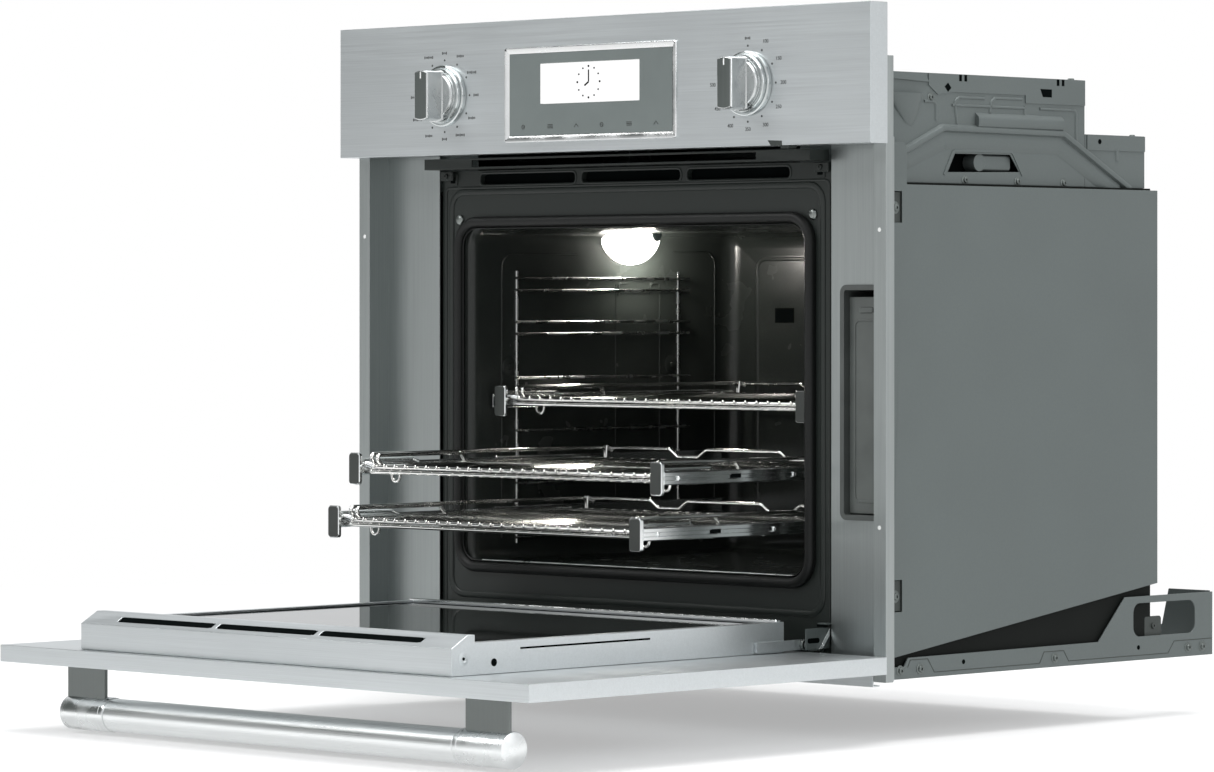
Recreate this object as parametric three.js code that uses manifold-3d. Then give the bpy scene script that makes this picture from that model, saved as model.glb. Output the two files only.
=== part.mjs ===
// Built-in wall oven with its door open, three wire racks on telescopic rails and a water tank.
// Millimetres, +X to the right, +Y into the cabinet, +Z up. The origin is on the underside of the
// front cross member of the base, at the centre of the width.
import * as THREE from 'three';
import { mergeVertices } from 'three/addons/utils/BufferGeometryUtils.js';
import Module from 'manifold-3d';

const wasm = await Module();
wasm.setup();

// ---- driving dimensions -------------------------------------------------------------------
const OVERALL_WIDTH = 755.65;
const HALF_WIDTH = OVERALL_WIDTH / 2;
const FRONT_Y = -66.5; // outer face of the control panel and of the closed door
const CABINET_FACE_Y = -30; // the side trims lie on the cabinet here
const TOUCH_GAP = 0.3;

const FASCIA = { z0: 522.5, z1: 659.5, back: -41.5, sheet: 1.6 };
const DISPLAY = { x: -2, z: 582.1, width: 246, height: 98 };
const SCREEN = { x: -2.4, z: 592.9, width: 142, height: 41.6 };
const KNOB = { x: 216.5, z: 584.2, skirt: 32.5, ring: 29, disc: 25.5, shaft: 3 };

const TRIM = { outer: 375.5, inner: 359.5, front: -41.2, sheet: 1.5, z0: 0, z1: 608 };
const FILLER = { y0: -13.7, y1: -12.2, inner: 279.5, z1: 530 };
const FRAME = { half: 279.2, front: -9.5, back: -8, z0: 22, z1: 507.5 };
const GASKET = { half: 256.5, z0: 84, z1: 459, band: 11.5, front: -18.5 };

const CAVITY = { half: 238, z0: 90, z1: 447, back: 392, wall: 2, corner: 8 };
const FAN_Z = 273;
const FAN = { radius: 68, y0: 381, y1: 389, blades: 10 };

const CASING = { half: 355, back: 406.6, sheet: 1.2, top: 484, flangeTop: 525 };
const BODY = { half: 350.7, back: 400, z0: 2, z1: 486, sheet: 1.2 };
const UPPER = { half: 345, y0: -5, y1: 300, z0: 486.3, z1: 595, sheet: 1.2 };
const REAR_BOX = { y1: 397.7, z1: 540 };
const RAIL = { end: 499, raised: 65.7, low: 21.5, sheet: 1.6, flange: 30 };

const HINGE = { y: -42.3, z: 32.1 };
const DOOR = { top: -528.9, bottom: -42.4, outer: 8.1, inner: 25.1, sheet: 1.5 };
const DOOR_FRAME = { half: 265, top: -517.5, bottom: -66.7, wall: 55.4, cap: 62.6, capEnd: -487.5 };
const DOOR_GLASS = { half: 254.6, y0: -486.6, y1: -75.4 };
const DOOR_WINDOW = { half: 215, y0: -400, y1: -150, lap: 18, pane: 4 };
const HANDLE = { y: -486.5, z: -40.9, bar: 16.4, sleeve: 17.3, sleeveStart: 250, sleeveEnd: 316 };

const RACKS = [
  { name: 'top', front: 12, z: 264.2 },
  { name: 'middle', front: -197, z: 197.5 },
  { name: 'bottom', front: -226, z: 144 },
];
const RACK = { half: 203, depth: 356, wire: 2.6, thin: 1.4, thinCount: 24 };
const RUNNER = { x0: 214.5, x1: 225, length: 362, capIn: 207, capOut: 223.5, capHalf: 16.6 };
const TANK = { x0: 299.5, x1: 344.5, z0: 161, z1: 374, y0: -9, y1: 215, wall: 2.5 };

// ---- shape helpers ------------------------------------------------------------------------
const part = new THREE.Group();

function toManifold(geometry) {
  const bare = geometry.clone();
  bare.deleteAttribute('normal');
  bare.deleteAttribute('uv');
  const merged = mergeVertices(bare, 1e-4);
  return new wasm.Manifold(new wasm.Mesh({
    numProp: 3,
    vertProperties: new Float32Array(merged.attributes.position.array),
    triVerts: new Uint32Array(merged.index.array),
  }));
}

function toGeometry(solid) {
  const mesh = solid.getMesh();
  const geometry = new THREE.BufferGeometry();
  geometry.setAttribute('position', new THREE.BufferAttribute(mesh.vertProperties, 3));
  geometry.setIndex(new THREE.BufferAttribute(mesh.triVerts, 1));
  geometry.computeVertexNormals();
  return geometry;
}

function box(x0, x1, y0, y1, z0, z1) {
  const geometry = new THREE.BoxGeometry(x1 - x0, y1 - y0, z1 - z0);
  geometry.translate((x0 + x1) / 2, (y0 + y1) / 2, (z0 + z1) / 2);
  return toManifold(geometry);
}

// A round bar from one point to another.
function rod(from, to, radius, sides = 6) {
  const a = new THREE.Vector3(...from);
  const b = new THREE.Vector3(...to);
  const along = b.clone().sub(a);
  const geometry = new THREE.CylinderGeometry(radius, radius, along.length(), sides);
  const turn = new THREE.Quaternion().setFromUnitVectors(new THREE.Vector3(0, 1, 0), along.normalize());
  geometry.applyQuaternion(turn);
  geometry.translate(...a.add(b).multiplyScalar(0.5).toArray());
  return toManifold(geometry);
}

// Wire bent in one plane: the outline of the bent wire, radius either side of its (u, v) points, pushed to
// the wire's own thickness.
function bentWire(points, radius, push) {
  const shape = new THREE.Shape();
  const left = [];
  const right = [];
  points.forEach((point, i) => {
    const before = points[Math.max(i - 1, 0)];
    const after = points[Math.min(i + 1, points.length - 1)];
    const d1 = new THREE.Vector2(point[0] - before[0], point[1] - before[1]).normalize();
    const d2 = new THREE.Vector2(after[0] - point[0], after[1] - point[1]).normalize();
    if (i === 0) d1.copy(d2);
    if (i === points.length - 1) d2.copy(d1);
    const normal = new THREE.Vector2(-(d1.y + d2.y), d1.x + d2.x).normalize();
    const reach = radius / Math.max(0.4, normal.dot(new THREE.Vector2(-d1.y, d1.x)));
    left.push([point[0] + normal.x * reach, point[1] + normal.y * reach]);
    right.push([point[0] - normal.x * reach, point[1] - normal.y * reach]);
  });
  const ring = [...left, ...right.reverse()];
  shape.moveTo(...ring[0]);
  for (const point of ring.slice(1)) shape.lineTo(...point);
  return push(shape);
}

function join(pieces) {
  return pieces.reduce((whole, piece) => whole.add(piece));
}

function cut(solid, tools) {
  return tools.reduce((whole, tool) => whole.subtract(tool), solid);
}

function outline(points) {
  const shape = new THREE.Shape();
  shape.moveTo(...points[0]);
  for (const point of points.slice(1)) shape.lineTo(...point);
  return shape;
}

function roundedOutline(u0, u1, v0, v1, radius) {
  const shape = new THREE.Shape();
  shape.absarc(u1 - radius, v1 - radius, radius, 0, Math.PI / 2);
  shape.absarc(u0 + radius, v1 - radius, radius, Math.PI / 2, Math.PI);
  shape.absarc(u0 + radius, v0 + radius, radius, Math.PI, 1.5 * Math.PI);
  shape.absarc(u1 - radius, v0 + radius, radius, 1.5 * Math.PI, 2 * Math.PI);
  return shape;
}

// An outline drawn in (y, z), pushed along X.
function alongX(shape, x0, x1, segments = 6) {
  const geometry = new THREE.ExtrudeGeometry(shape, {
    depth: x1 - x0, bevelEnabled: false, curveSegments: segments,
  });
  geometry.applyMatrix4(new THREE.Matrix4().set(0, 0, 1, x0, 1, 0, 0, 0, 0, 1, 0, 0, 0, 0, 0, 1));
  return toManifold(geometry);
}

// An outline drawn in (x, z), pushed along Y.
function alongY(shape, y0, y1, segments = 6) {
  const geometry = new THREE.ExtrudeGeometry(shape, {
    depth: y1 - y0, bevelEnabled: false, curveSegments: segments,
  });
  geometry.applyMatrix4(new THREE.Matrix4().set(1, 0, 0, 0, 0, 0, -1, y1, 0, 1, 0, 0, 0, 0, 0, 1));
  return toManifold(geometry);
}

// An outline drawn in (x, y), pushed along Z.
function alongZ(shape, z0, z1) {
  const geometry = new THREE.ExtrudeGeometry(shape, { depth: z1 - z0, bevelEnabled: false });
  geometry.translate(0, 0, z0);
  return toManifold(geometry);
}

function mirrored(solid) {
  return solid.mirror([1, 0, 0]);
}

const FINISH = {
  stainless: { color: 0xb4b9bb, roughness: 0.35, metalness: 1 },
  chrome: { color: 0xd8dadb, roughness: 0.12, metalness: 1 },
  galvanised: { color: 0x6d7674, roughness: 0.55, metalness: 0.7 },
  enamel: { color: 0x2a302d, roughness: 0.25, metalness: 0.1 },
  rubber: { color: 0x151615, roughness: 0.8, metalness: 0 },
  plastic: { color: 0x2b2e2d, roughness: 0.5, metalness: 0 },
  greyPlastic: { color: 0x586060, roughness: 0.45, metalness: 0 },
  glass: { color: 0x7a837f, roughness: 0.06, metalness: 0 },
  darkGlass: { color: 0x3c4440, roughness: 0.05, metalness: 0.2 },
  screen: { color: 0xf4f6f6, roughness: 0.3, metalness: 0 },
  board: { color: 0x2d5a38, roughness: 0.6, metalness: 0 },
  heater: { color: 0x4a4744, roughness: 0.5, metalness: 0.8 },
};

function node(name, solid, finish) {
  const mesh = new THREE.Mesh(toGeometry(solid), new THREE.MeshStandardMaterial(FINISH[finish]));
  mesh.name = name;
  part.add(mesh);
}

// The same piece on the right, and its mirror image on the left.
function pair(name, solid, finish) {
  node(`${name}_right`, solid, finish);
  node(`${name}_left`, mirrored(solid), finish);
}

// ---- control panel ------------------------------------------------------------------------
function controlPanel() {
  const { z0, z1, back, sheet } = FASCIA;
  const windowHalf = (DISPLAY.width - 7.4) / 2;
  const windowRise = (DISPLAY.height - 7.4) / 2;
  node('control_fascia', cut(box(-HALF_WIDTH, HALF_WIDTH, FRONT_Y, back, z0, z1), [
    box(-HALF_WIDTH + sheet, HALF_WIDTH - sheet, FRONT_Y + sheet, back + 1, z0 + sheet, z1 - sheet),
    box(DISPLAY.x - windowHalf, DISPLAY.x + windowHalf, FRONT_Y - 1, FRONT_Y + 3,
      DISPLAY.z - windowRise, DISPLAY.z + windowRise),
    ...[-KNOB.x, KNOB.x].map((x) => rod([x, FRONT_Y - 1, KNOB.z], [x, FRONT_Y + 3, KNOB.z], 4, 12)),
  ]), 'stainless');

  const plate = (width, height, y0, y1, at = DISPLAY) => box(
    at.x - width / 2, at.x + width / 2, y0, y1, at.z - height / 2, at.z + height / 2);
  node('display_bezel', cut(join([
    plate(DISPLAY.width, DISPLAY.height, FRONT_Y - 2.8, FRONT_Y - TOUCH_GAP),
    plate(DISPLAY.width - 8, DISPLAY.height - 8, FRONT_Y - 1, FRONT_Y + 4.5),
  ]), [plate(DISPLAY.width - 13, DISPLAY.height - 13, FRONT_Y - 4, FRONT_Y + 6)]), 'chrome');
  node('display_glass', cut(
    plate(DISPLAY.width - 13.6, DISPLAY.height - 13.6, FRONT_Y - 1.4, FRONT_Y + 1.6),
    [plate(SCREEN.width, SCREEN.height, FRONT_Y - 3, FRONT_Y + 3, SCREEN)]), 'glass');
  node('display_screen',
    plate(SCREEN.width - 0.6, SCREEN.height - 0.6, FRONT_Y - 1.2, FRONT_Y + 5, SCREEN), 'screen');
  const rotarySwitch = (x) => cut(
    box(x - 16, x + 16, FRONT_Y + 3, FRONT_Y + 12, KNOB.z - 16, KNOB.z + 16),
    [rod([x, FRONT_Y, KNOB.z], [x, FRONT_Y + 30, KNOB.z], KNOB.shaft + 0.5, 12)]);
  node('control_board', join([
    box(-200, 200, FRONT_Y + 9, FRONT_Y + 10.6, 536, 626),
    box(60, 100, FRONT_Y + 10, FRONT_Y + 18, 545, 570),
    box(-120, -70, FRONT_Y + 10, FRONT_Y + 16, 590, 615),
    rotarySwitch(-KNOB.x), rotarySwitch(KNOB.x),
    box(-205, -199, FRONT_Y + 9, FRONT_Y + 12, 570, 600), box(199, 205, FRONT_Y + 9, FRONT_Y + 12, 570, 600),
  ]), 'board');

  const face = FRONT_Y - TOUCH_GAP;
  const bezel = cut(join([
    rod([KNOB.x, face, KNOB.z], [KNOB.x, face - 4, KNOB.z], KNOB.skirt, 28),
    rod([KNOB.x, face, KNOB.z], [KNOB.x, face - 9, KNOB.z], KNOB.ring, 28),
  ]), [rod([KNOB.x, face + 1, KNOB.z], [KNOB.x, face - 12, KNOB.z], 6, 12)]);
  const discBack = face - 9 - TOUCH_GAP;
  const grip = box(KNOB.x - 9.5, KNOB.x + 9.5, FRONT_Y - 35, discBack - 5, KNOB.z - 26, KNOB.z + 26);
  const knob = join([
    rod([KNOB.x, discBack, KNOB.z], [KNOB.x, discBack - 6, KNOB.z], KNOB.disc, 28),
    grip,
    rod([KNOB.x, discBack - 1, KNOB.z], [KNOB.x, FRONT_Y + 17, KNOB.z], KNOB.shaft, 12),
  ]);
  pair('knob_bezel', bezel, 'chrome');
  pair('knob', knob, 'stainless');
}

// ---- front trims and the frame around the cavity ------------------------------------------
function frontTrims() {
  const { outer, inner, front, sheet, z0, z1 } = TRIM;
  const folded = cut(alongZ(outline([
    [inner, front], [outer, front], [outer, CABINET_FACE_Y], [outer - sheet, CABINET_FACE_Y],
    [outer - sheet, front + sheet], [inner + sheet, front + sheet], [inner + sheet, FILLER.y1],
    [FILLER.inner, FILLER.y1], [FILLER.inner, FILLER.y0], [inner, FILLER.y0],
  ]), z0, z1), [
    box(FILLER.inner - 2, inner + sheet + 0.5, front + sheet, FILLER.y1 + 2, FILLER.z1, z1 + 2),
  ]);
  const bay = alongY(roundedOutline(296, 348, 156.5, 383, 4), FILLER.y0 - 1, FILLER.y1 + 1, 3);
  node('side_trim_right', cut(folded, [bay]), 'stainless');
  node('side_trim_left', mirrored(folded), 'stainless');

  node('bottom_trim', alongX(outline([
    [-41.9, -5], [-31.5, -5], [-31.5, -3.5], [-40.4, -3.5], [-40.4, 5], [-14, 5], [-14, 6.5], [-41.9, 6.5],
  ]), -(TRIM.inner - TOUCH_GAP), TRIM.inner - TOUCH_GAP), 'stainless');

  node('air_outlet_bar', cut(box(-275, 275, -40.5, -12, 508.2, 519.5), [
    box(-203, 203, -42, -20, 510.4, 517.4),
    box(-273, 273, -38.8, -10, 509.8, 518),
  ]), 'enamel');
}

function cavityFrame() {
  const { half, front, back, z0, z1 } = FRAME;
  const slot = (x0, x1) => alongY(roundedOutline(x0, x1, 492, 504.3, 5), front - 2, back + 2, 3);
  const bead = (grow, lift) => cut(
    alongY(roundedOutline(-267 - grow, 267 + grow, 58 - grow, 487 + grow, 20), front - lift, front + 0.5, 4),
    [alongY(roundedOutline(-263 + grow, 263 - grow, 62 + grow, 483 - grow, 17), front - 5, back + 3, 4)]);
  const boss = (x) => rod([x, front - 1.5, 455.7], [x, front + 0.5, 455.7], 5, 10);
  node('cavity_frame', cut(join([
    box(-half, half, front, back, z0, z1), bead(0, 1.4), boss(-252), boss(252),
  ]), [
    alongY(roundedOutline(-243.5, 243.5, 86.5, 452, 22), front - 4, back + 4, 4),
    slot(-221.5, -79.5), slot(-71, 71), slot(79.5, 221.5),
    box(266, half + 1, front - 2, back + 2, z0 - 1, 50),
    box(-half - 1, -266, front - 2, back + 2, z0 - 1, 50),
  ]), 'enamel');

  const ring = GASKET.band;
  node('door_gasket', cut(
    alongY(roundedOutline(-GASKET.half, GASKET.half, GASKET.z0, GASKET.z1, 30),
      GASKET.front, front - TOUCH_GAP, 6),
    [alongY(roundedOutline(-GASKET.half + ring, GASKET.half - ring, GASKET.z0 + ring,
      GASKET.z1 - ring, 20), GASKET.front - 2, front + 2, 6)]), 'rubber');
}

// ---- cavity -------------------------------------------------------------------------------
function cavity() {
  const { half, z0, z1, back, wall, corner } = CAVITY;
  const start = FRAME.back + TOUCH_GAP;
  const lamp = { y0: 192, y1: 270, z0: 409, z1: 437 };
  node('cavity_liner', cut(join([
    alongY(roundedOutline(-half - wall, half + wall, z0 - wall, z1 + wall, corner + wall),
      start, back + wall, 3),
    alongY(roundedOutline(-262, 262, 76, 474, 14), start, start + 1.5, 3),
  ]), [
    alongY(roundedOutline(-half, half, z0, z1, corner), start - 2, back, 3),
    rod([0, back - 3, FAN_Z], [0, back + 6, FAN_Z], 6, 12),
    box(-half - 5, -half + 2, lamp.y0, lamp.y1, lamp.z0, lamp.z1),
  ]), 'enamel');
  node('oven_lamp', join([
    box(-half - 3, -half + 4, lamp.y0 + 0.4, lamp.y1 - 0.4, lamp.z0 + 0.4, lamp.z1 - 0.4),
    box(-half - 24, -half - wall - TOUCH_GAP, lamp.y0 - 8, lamp.y1 + 8, lamp.z0 - 6, lamp.z1 + 4),
  ]), 'screen');

  const holes = [];
  for (let i = 0; i < 8; i += 1) {
    const a = (i * Math.PI) / 4;
    const at = [34 * Math.cos(a), FAN_Z + 34 * Math.sin(a)];
    holes.push(rod([at[0], 370, at[1]], [at[0], 382, at[1]], 9, 8));
  }
  const sideSlot = (x) => box(x - 14, x + 14, 370, 380, 346, 362);
  node('fan_baffle', cut(alongY(roundedOutline(-185, 185, 122, 420, 20), 376.5, back - TOUCH_GAP, 4), [
    alongY(roundedOutline(-183.6, 183.6, 123.4, 418.6, 18.6), 378, back + 2, 4),
    ...holes, sideSlot(-140), sideSlot(140),
  ]), 'enamel');

  const blade = (i) => {
    const a = (i * 2 * Math.PI) / FAN.blades;
    const piece = new THREE.BoxGeometry(30, FAN.y1 - FAN.y0, 1.6);
    piece.translate(50, 0, 0);
    piece.rotateY(a);
    piece.translate(0, (FAN.y0 + FAN.y1) / 2, FAN_Z);
    return toManifold(piece);
  };
  node('convection_fan', join([
    rod([0, FAN.y1 - 1.4, FAN_Z], [0, FAN.y1, FAN_Z], FAN.radius, 24),
    rod([0, FAN.y0, FAN_Z], [0, FAN.y1, FAN_Z], 10, 12),
    rod([0, FAN.y1 - 1, FAN_Z], [0, 416, FAN_Z], 4, 12),
    ...Array.from({ length: FAN.blades }, (_, i) => blade(i)),
  ]), 'galvanised');
  node('convection_motor', cut(join([
    rod([0, 402.2, FAN_Z], [0, 405, FAN_Z], 55, 20),
    rod([0, 404, FAN_Z], [0, 446, FAN_Z], 36, 20),
  ]), [rod([0, 400, FAN_Z], [0, 430, FAN_Z], 4.6, 12)]), 'galvanised');

  const ringHeater = new THREE.TorusGeometry(94, 3.2, 5, 24);
  ringHeater.rotateX(Math.PI / 2);
  ringHeater.translate(0, 385, FAN_Z);
  node('ring_heater', toManifold(ringHeater), 'heater');
}

// Wire ladder on a cavity wall, with the fixed half of each telescopic rail welded to it.
function rackSupports() {
  const x = CAVITY.half - 3.2;
  const rails = RACKS.map(({ z }) => box(226.8, x + 0.5, 18, 372, z - 8, z + 9));
  const levels = [394.4, 381.6, 347.6, 334.9];
  const rungs = levels.map((z) => box(x - 2, x + 2, 52, 316, z - 2, z + 2));
  const posts = [57, 306].map((y) => box(x - 2.2, x + 2.2, y - 2.2, y + 2.2, 112, 402));
  pair('rack_support', join([...posts, ...rungs, ...rails]), 'chrome');
}

// ---- racks --------------------------------------------------------------------------------
function rackGrid({ name, front, z }) {
  const { half, depth, wire: thick, thin, thinCount } = RACK;
  const y = (d) => front + d;
  const across = (points, d, radius) => bentWire(points, radius,
    (shape) => alongY(shape, y(d) - radius, y(d) + radius));
  const pitch = (2 * half - 24) / (thinCount - 1);
  const bars = [];
  for (let i = 0; i < thinCount; i += 1) {
    const x = -half + 12 + pitch * i;
    bars.push(box(x - thin, x + thin, y(12), y(depth - 8), z + 1, z + 3.2));
  }
  const side = (x) => bentWire(
    [[y(12), z - 4], [y(12), z + 15], [y(depth), z + 15], [y(depth), z + 1]], thick, (shape) => alongX(shape, x - thick, x + thick));
  const loop = (s) => across([
    [s * (half - 26), z - 4], [s * (half - 31), z - 15], [s * (half - 37), z - 15], [s * (half - 42), z - 4],
  ], 12, 1.9);
  const guard = across([
    [-half, z + 15], [-107, z + 15], [-95, z + 7], [-65, z + 7], [-53, z + 15], [53, z + 15],
    [65, z + 7], [95, z + 7], [107, z + 15], [half, z + 15],
  ], depth, thick);
  const cross = (d, height) => box(-half, half, y(d) - thick, y(d) + thick, height - thick, height + thick);
  node(`rack_${name}`, join([
    cross(12, z + 2), cross(12, z - 4), cross(depth - 8, z + 2),
    box(-half - thick, -half + thick, y(12), y(depth), z - 0.6, z + 4.6),
    box(half - thick, half + thick, y(12), y(depth), z - 0.6, z + 4.6),
    side(-half), side(half), loop(-1), loop(1), guard, ...bars,
  ]), 'chrome');
}

function rackRunner({ name, front, z }) {
  const cap = alongY(roundedOutline(RUNNER.capIn, RUNNER.capOut, z - RUNNER.capHalf,
    z + RUNNER.capHalf, 4), front, front + 6, 3);
  const bar = box(RUNNER.x0, RUNNER.x1, front + 5, front + RUNNER.length, z - 6, z + 7);
  pair(`runner_${name}`, join([cap, bar]), 'stainless');
}

// ---- water tank and steam parts -----------------------------------------------------------
function steamSystem() {
  const sleeve = (grow, y0, y1, radius) => alongY(
    roundedOutline(TANK.x0 - grow, TANK.x1 + grow, TANK.z0 - grow, TANK.z1 + 5.5 + grow, radius), y0, y1, 3);
  node('tank_housing', cut(join([
    sleeve(6.3, -16.2, FILLER.y0 - TOUCH_GAP, 8),
    sleeve(2.8, FILLER.y0 - 1, 226, 4),
  ]), [
    sleeve(1, -20, 224.4, 2.5),
    rod([322, 220, 200], [322, 230, 200], 5, 10),
  ]), 'plastic');
  node('water_tank', cut(box(TANK.x0, TANK.x1, TANK.y0, TANK.y1, TANK.z0, TANK.z1), [
    box(TANK.x0 + TANK.wall, TANK.x1 - TANK.wall, TANK.y0 + TANK.wall, TANK.y1 - TANK.wall,
      TANK.z0 + TANK.wall, TANK.z1 + 1),
  ]), 'greyPlastic');
  node('steam_generator', join([
    rod([290, 316, 130], [290, 316, 260], 34, 16),
    box(258, 322, 282, 350, 122, 131),
    rod([290, 316, 255], [290, 316, 275], 8, 10),
  ]), 'galvanised');
  node('water_pump', join([
    rod([322, 232, 200], [322, 262, 200], 14, 12),
    rod([322, 225, 200], [322, 234, 200], 4.4, 8),
  ]), 'plastic');
}

// ---- casing -------------------------------------------------------------------------------
function casing() {
  const { half, back, sheet, top, flangeTop } = CASING;
  const skin = alongX(outline([
    [-11.5, 20.7], [back, 78.3], [back, top], [13.2, top], [13.2, flangeTop - 5],
    [8, flangeTop], [-11.5, flangeTop],
  ]), half - sheet, half);
  const pocket = (z0, z1) => box(half - 5, half + 5, -8, 6, z0, z1);
  pair('side_panel', cut(skin, [pocket(446.4, 477.2), pocket(65.9, 97.1)]), 'galvanised');

  const inside = BODY.half - BODY.sheet - TOUCH_GAP;
  const well = BODY.half - BODY.sheet;
  node('inner_casing', cut(box(-BODY.half, BODY.half, -11.5, BODY.back, BODY.z0, BODY.z1), [
    box(-well, well, -13, BODY.back + 1, 55.4, BODY.z1 - BODY.sheet),
    box(-well, well, -13, BODY.back + 1, BODY.z0 - 1, 54),
    box(-well, well, -13, -6, BODY.z0 - 1, BODY.z1 + 1),
  ]), 'galvanised');
  node('rear_panel', cut(box(-inside, inside, BODY.back + TOUCH_GAP, BODY.back + 1.8, 20, BODY.z1),
    [rod([0, 395, FAN_Z], [0, 410, FAN_Z], 6, 12)]), 'galvanised');
  node('terminal_box', box(150, 250, BODY.back + 2.1, 434, 380, 450), 'galvanised');

  const { y0, y1, z0, z1, sheet: wall } = UPPER;
  const vent = (x) => alongX(outline([[86, 497.5], [97, 516], [182, 516.5], [196, 499.5]]), x - 5, x + 5);
  node('upper_housing', cut(box(-UPPER.half, UPPER.half, y0, y1, z0, z1), [
    box(-UPPER.half + wall, UPPER.half - wall, y0 + wall, y1 - wall, z0 - 1, z1 - wall),
    box(-230, 230, y0 - 2, y0 + 4, 492, 530), vent(-UPPER.half), vent(UPPER.half),
  ]), 'galvanised');
  node('rear_box', cut(box(-UPPER.half, UPPER.half, y1 + TOUCH_GAP, REAR_BOX.y1, z0, REAR_BOX.z1), [
    box(-UPPER.half + wall, UPPER.half - wall, y1 + TOUCH_GAP + wall, REAR_BOX.y1 - wall,
      z0 - 1, REAR_BOX.z1 - wall),
  ]), 'galvanised');
}

function cooling() {
  const z0 = UPPER.z0 + TOUCH_GAP;
  node('blower_housing', cut(join([
    box(-120, 120, 110, 200, z0, 575), rod([119, 154, 532], [165, 154, 532], 26, 18),
  ]), [
    box(-118.5, 118.5, 108, 198.5, z0 + 1.5, 573.5),
    rod([110, 154, 532], [145, 154, 532], 4, 12),
  ]), 'galvanised');
  const slats = [];
  for (let i = 0; i < 12; i += 1) {
    const a = (i * Math.PI) / 6;
    const at = [154 + 30 * Math.cos(a), 532 + 30 * Math.sin(a)];
    slats.push(rod([-100, ...at], [100, ...at], 2.2, 4));
  }
  node('blower_wheel', join([
    rod([-102, 154, 532], [-99, 154, 532], 33, 18),
    rod([99, 154, 532], [102, 154, 532], 33, 18),
    rod([-100, 154, 532], [135, 154, 532], 3, 8),
    ...slats,
  ]), 'galvanised');
}

function base() {
  const { end, raised, low, sheet, flange } = RAIL;
  const half = CASING.half;
  const web = alongX(outline([
    [-11.5, 0], [end, 0], [end, raised], [353, raised], [310, low + 0.4], [15, low - 1], [9, 12], [-11.5, 12],
  ]), half - sheet, half);
  const grip = alongX(roundedOutline(367, 469.4, 24.3, 58.6, 10), half - 5, half + 5, 4);
  pair('base_rail', join([cut(web, [grip]), box(half - flange, half - 0.5, -11.5, end, 0, sheet)]),
    'galvanised');
  const reach = half - flange - TOUCH_GAP;
  node('base_cross_front', alongX(outline([
    [-11.5, 0], [48.5, 0], [48.5, 18], [46.9, 18], [46.9, sheet], [-9.9, sheet], [-9.9, 18], [-11.5, 18],
  ]), -reach, reach), 'galvanised');
  const inner = half - sheet - TOUCH_GAP;
  node('base_cross_rear', alongY(outline([
    [-inner, 2], [inner, 2], [inner, 66.9], [299, 66.9], [290, 29], [-290, 29], [-299, 66.9], [-inner, 66.9],
  ]), end - 3, end - 1.5), 'galvanised');
}

// ---- door ---------------------------------------------------------------------------------
// Plates that carry the door's hinge axis. The bracket is fixed to the body, the leaf to the door.
function hinges() {
  const nose = (radius, tail) => {
    const shape = new THREE.Shape();
    shape.moveTo(tail, HINGE.z - radius);
    shape.lineTo(HINGE.y, HINGE.z - radius);
    shape.absarc(HINGE.y, HINGE.z, radius, -Math.PI / 2, Math.PI / 2, tail > HINGE.y);
    shape.lineTo(tail, HINGE.z + radius);
    return shape;
  };
  const bracket = cut(join([
    alongX(nose(5.5, 40), 269, 272),
    alongX(outline([[-36, 25.5], [40, 25.5], [40, 47], [-30, 47]]), 269, 272),
  ]), [
    rod([260, HINGE.y, HINGE.z], [280, HINGE.y, HINGE.z], 3, 12),
    alongX(roundedOutline(-27, -14, 38, 43, 2.4), 260, 280, 3),
  ]);
  pair('hinge_bracket', bracket, 'enamel');
  const leaf = join([
    alongX(nose(5, -110), DOOR_FRAME.half + TOUCH_GAP, 268.5),
    rod([267, HINGE.y, HINGE.z], [272.6, HINGE.y, HINGE.z], 2.6, 12),
  ]);
  pair('hinge_leaf', leaf, 'stainless');
}

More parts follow.
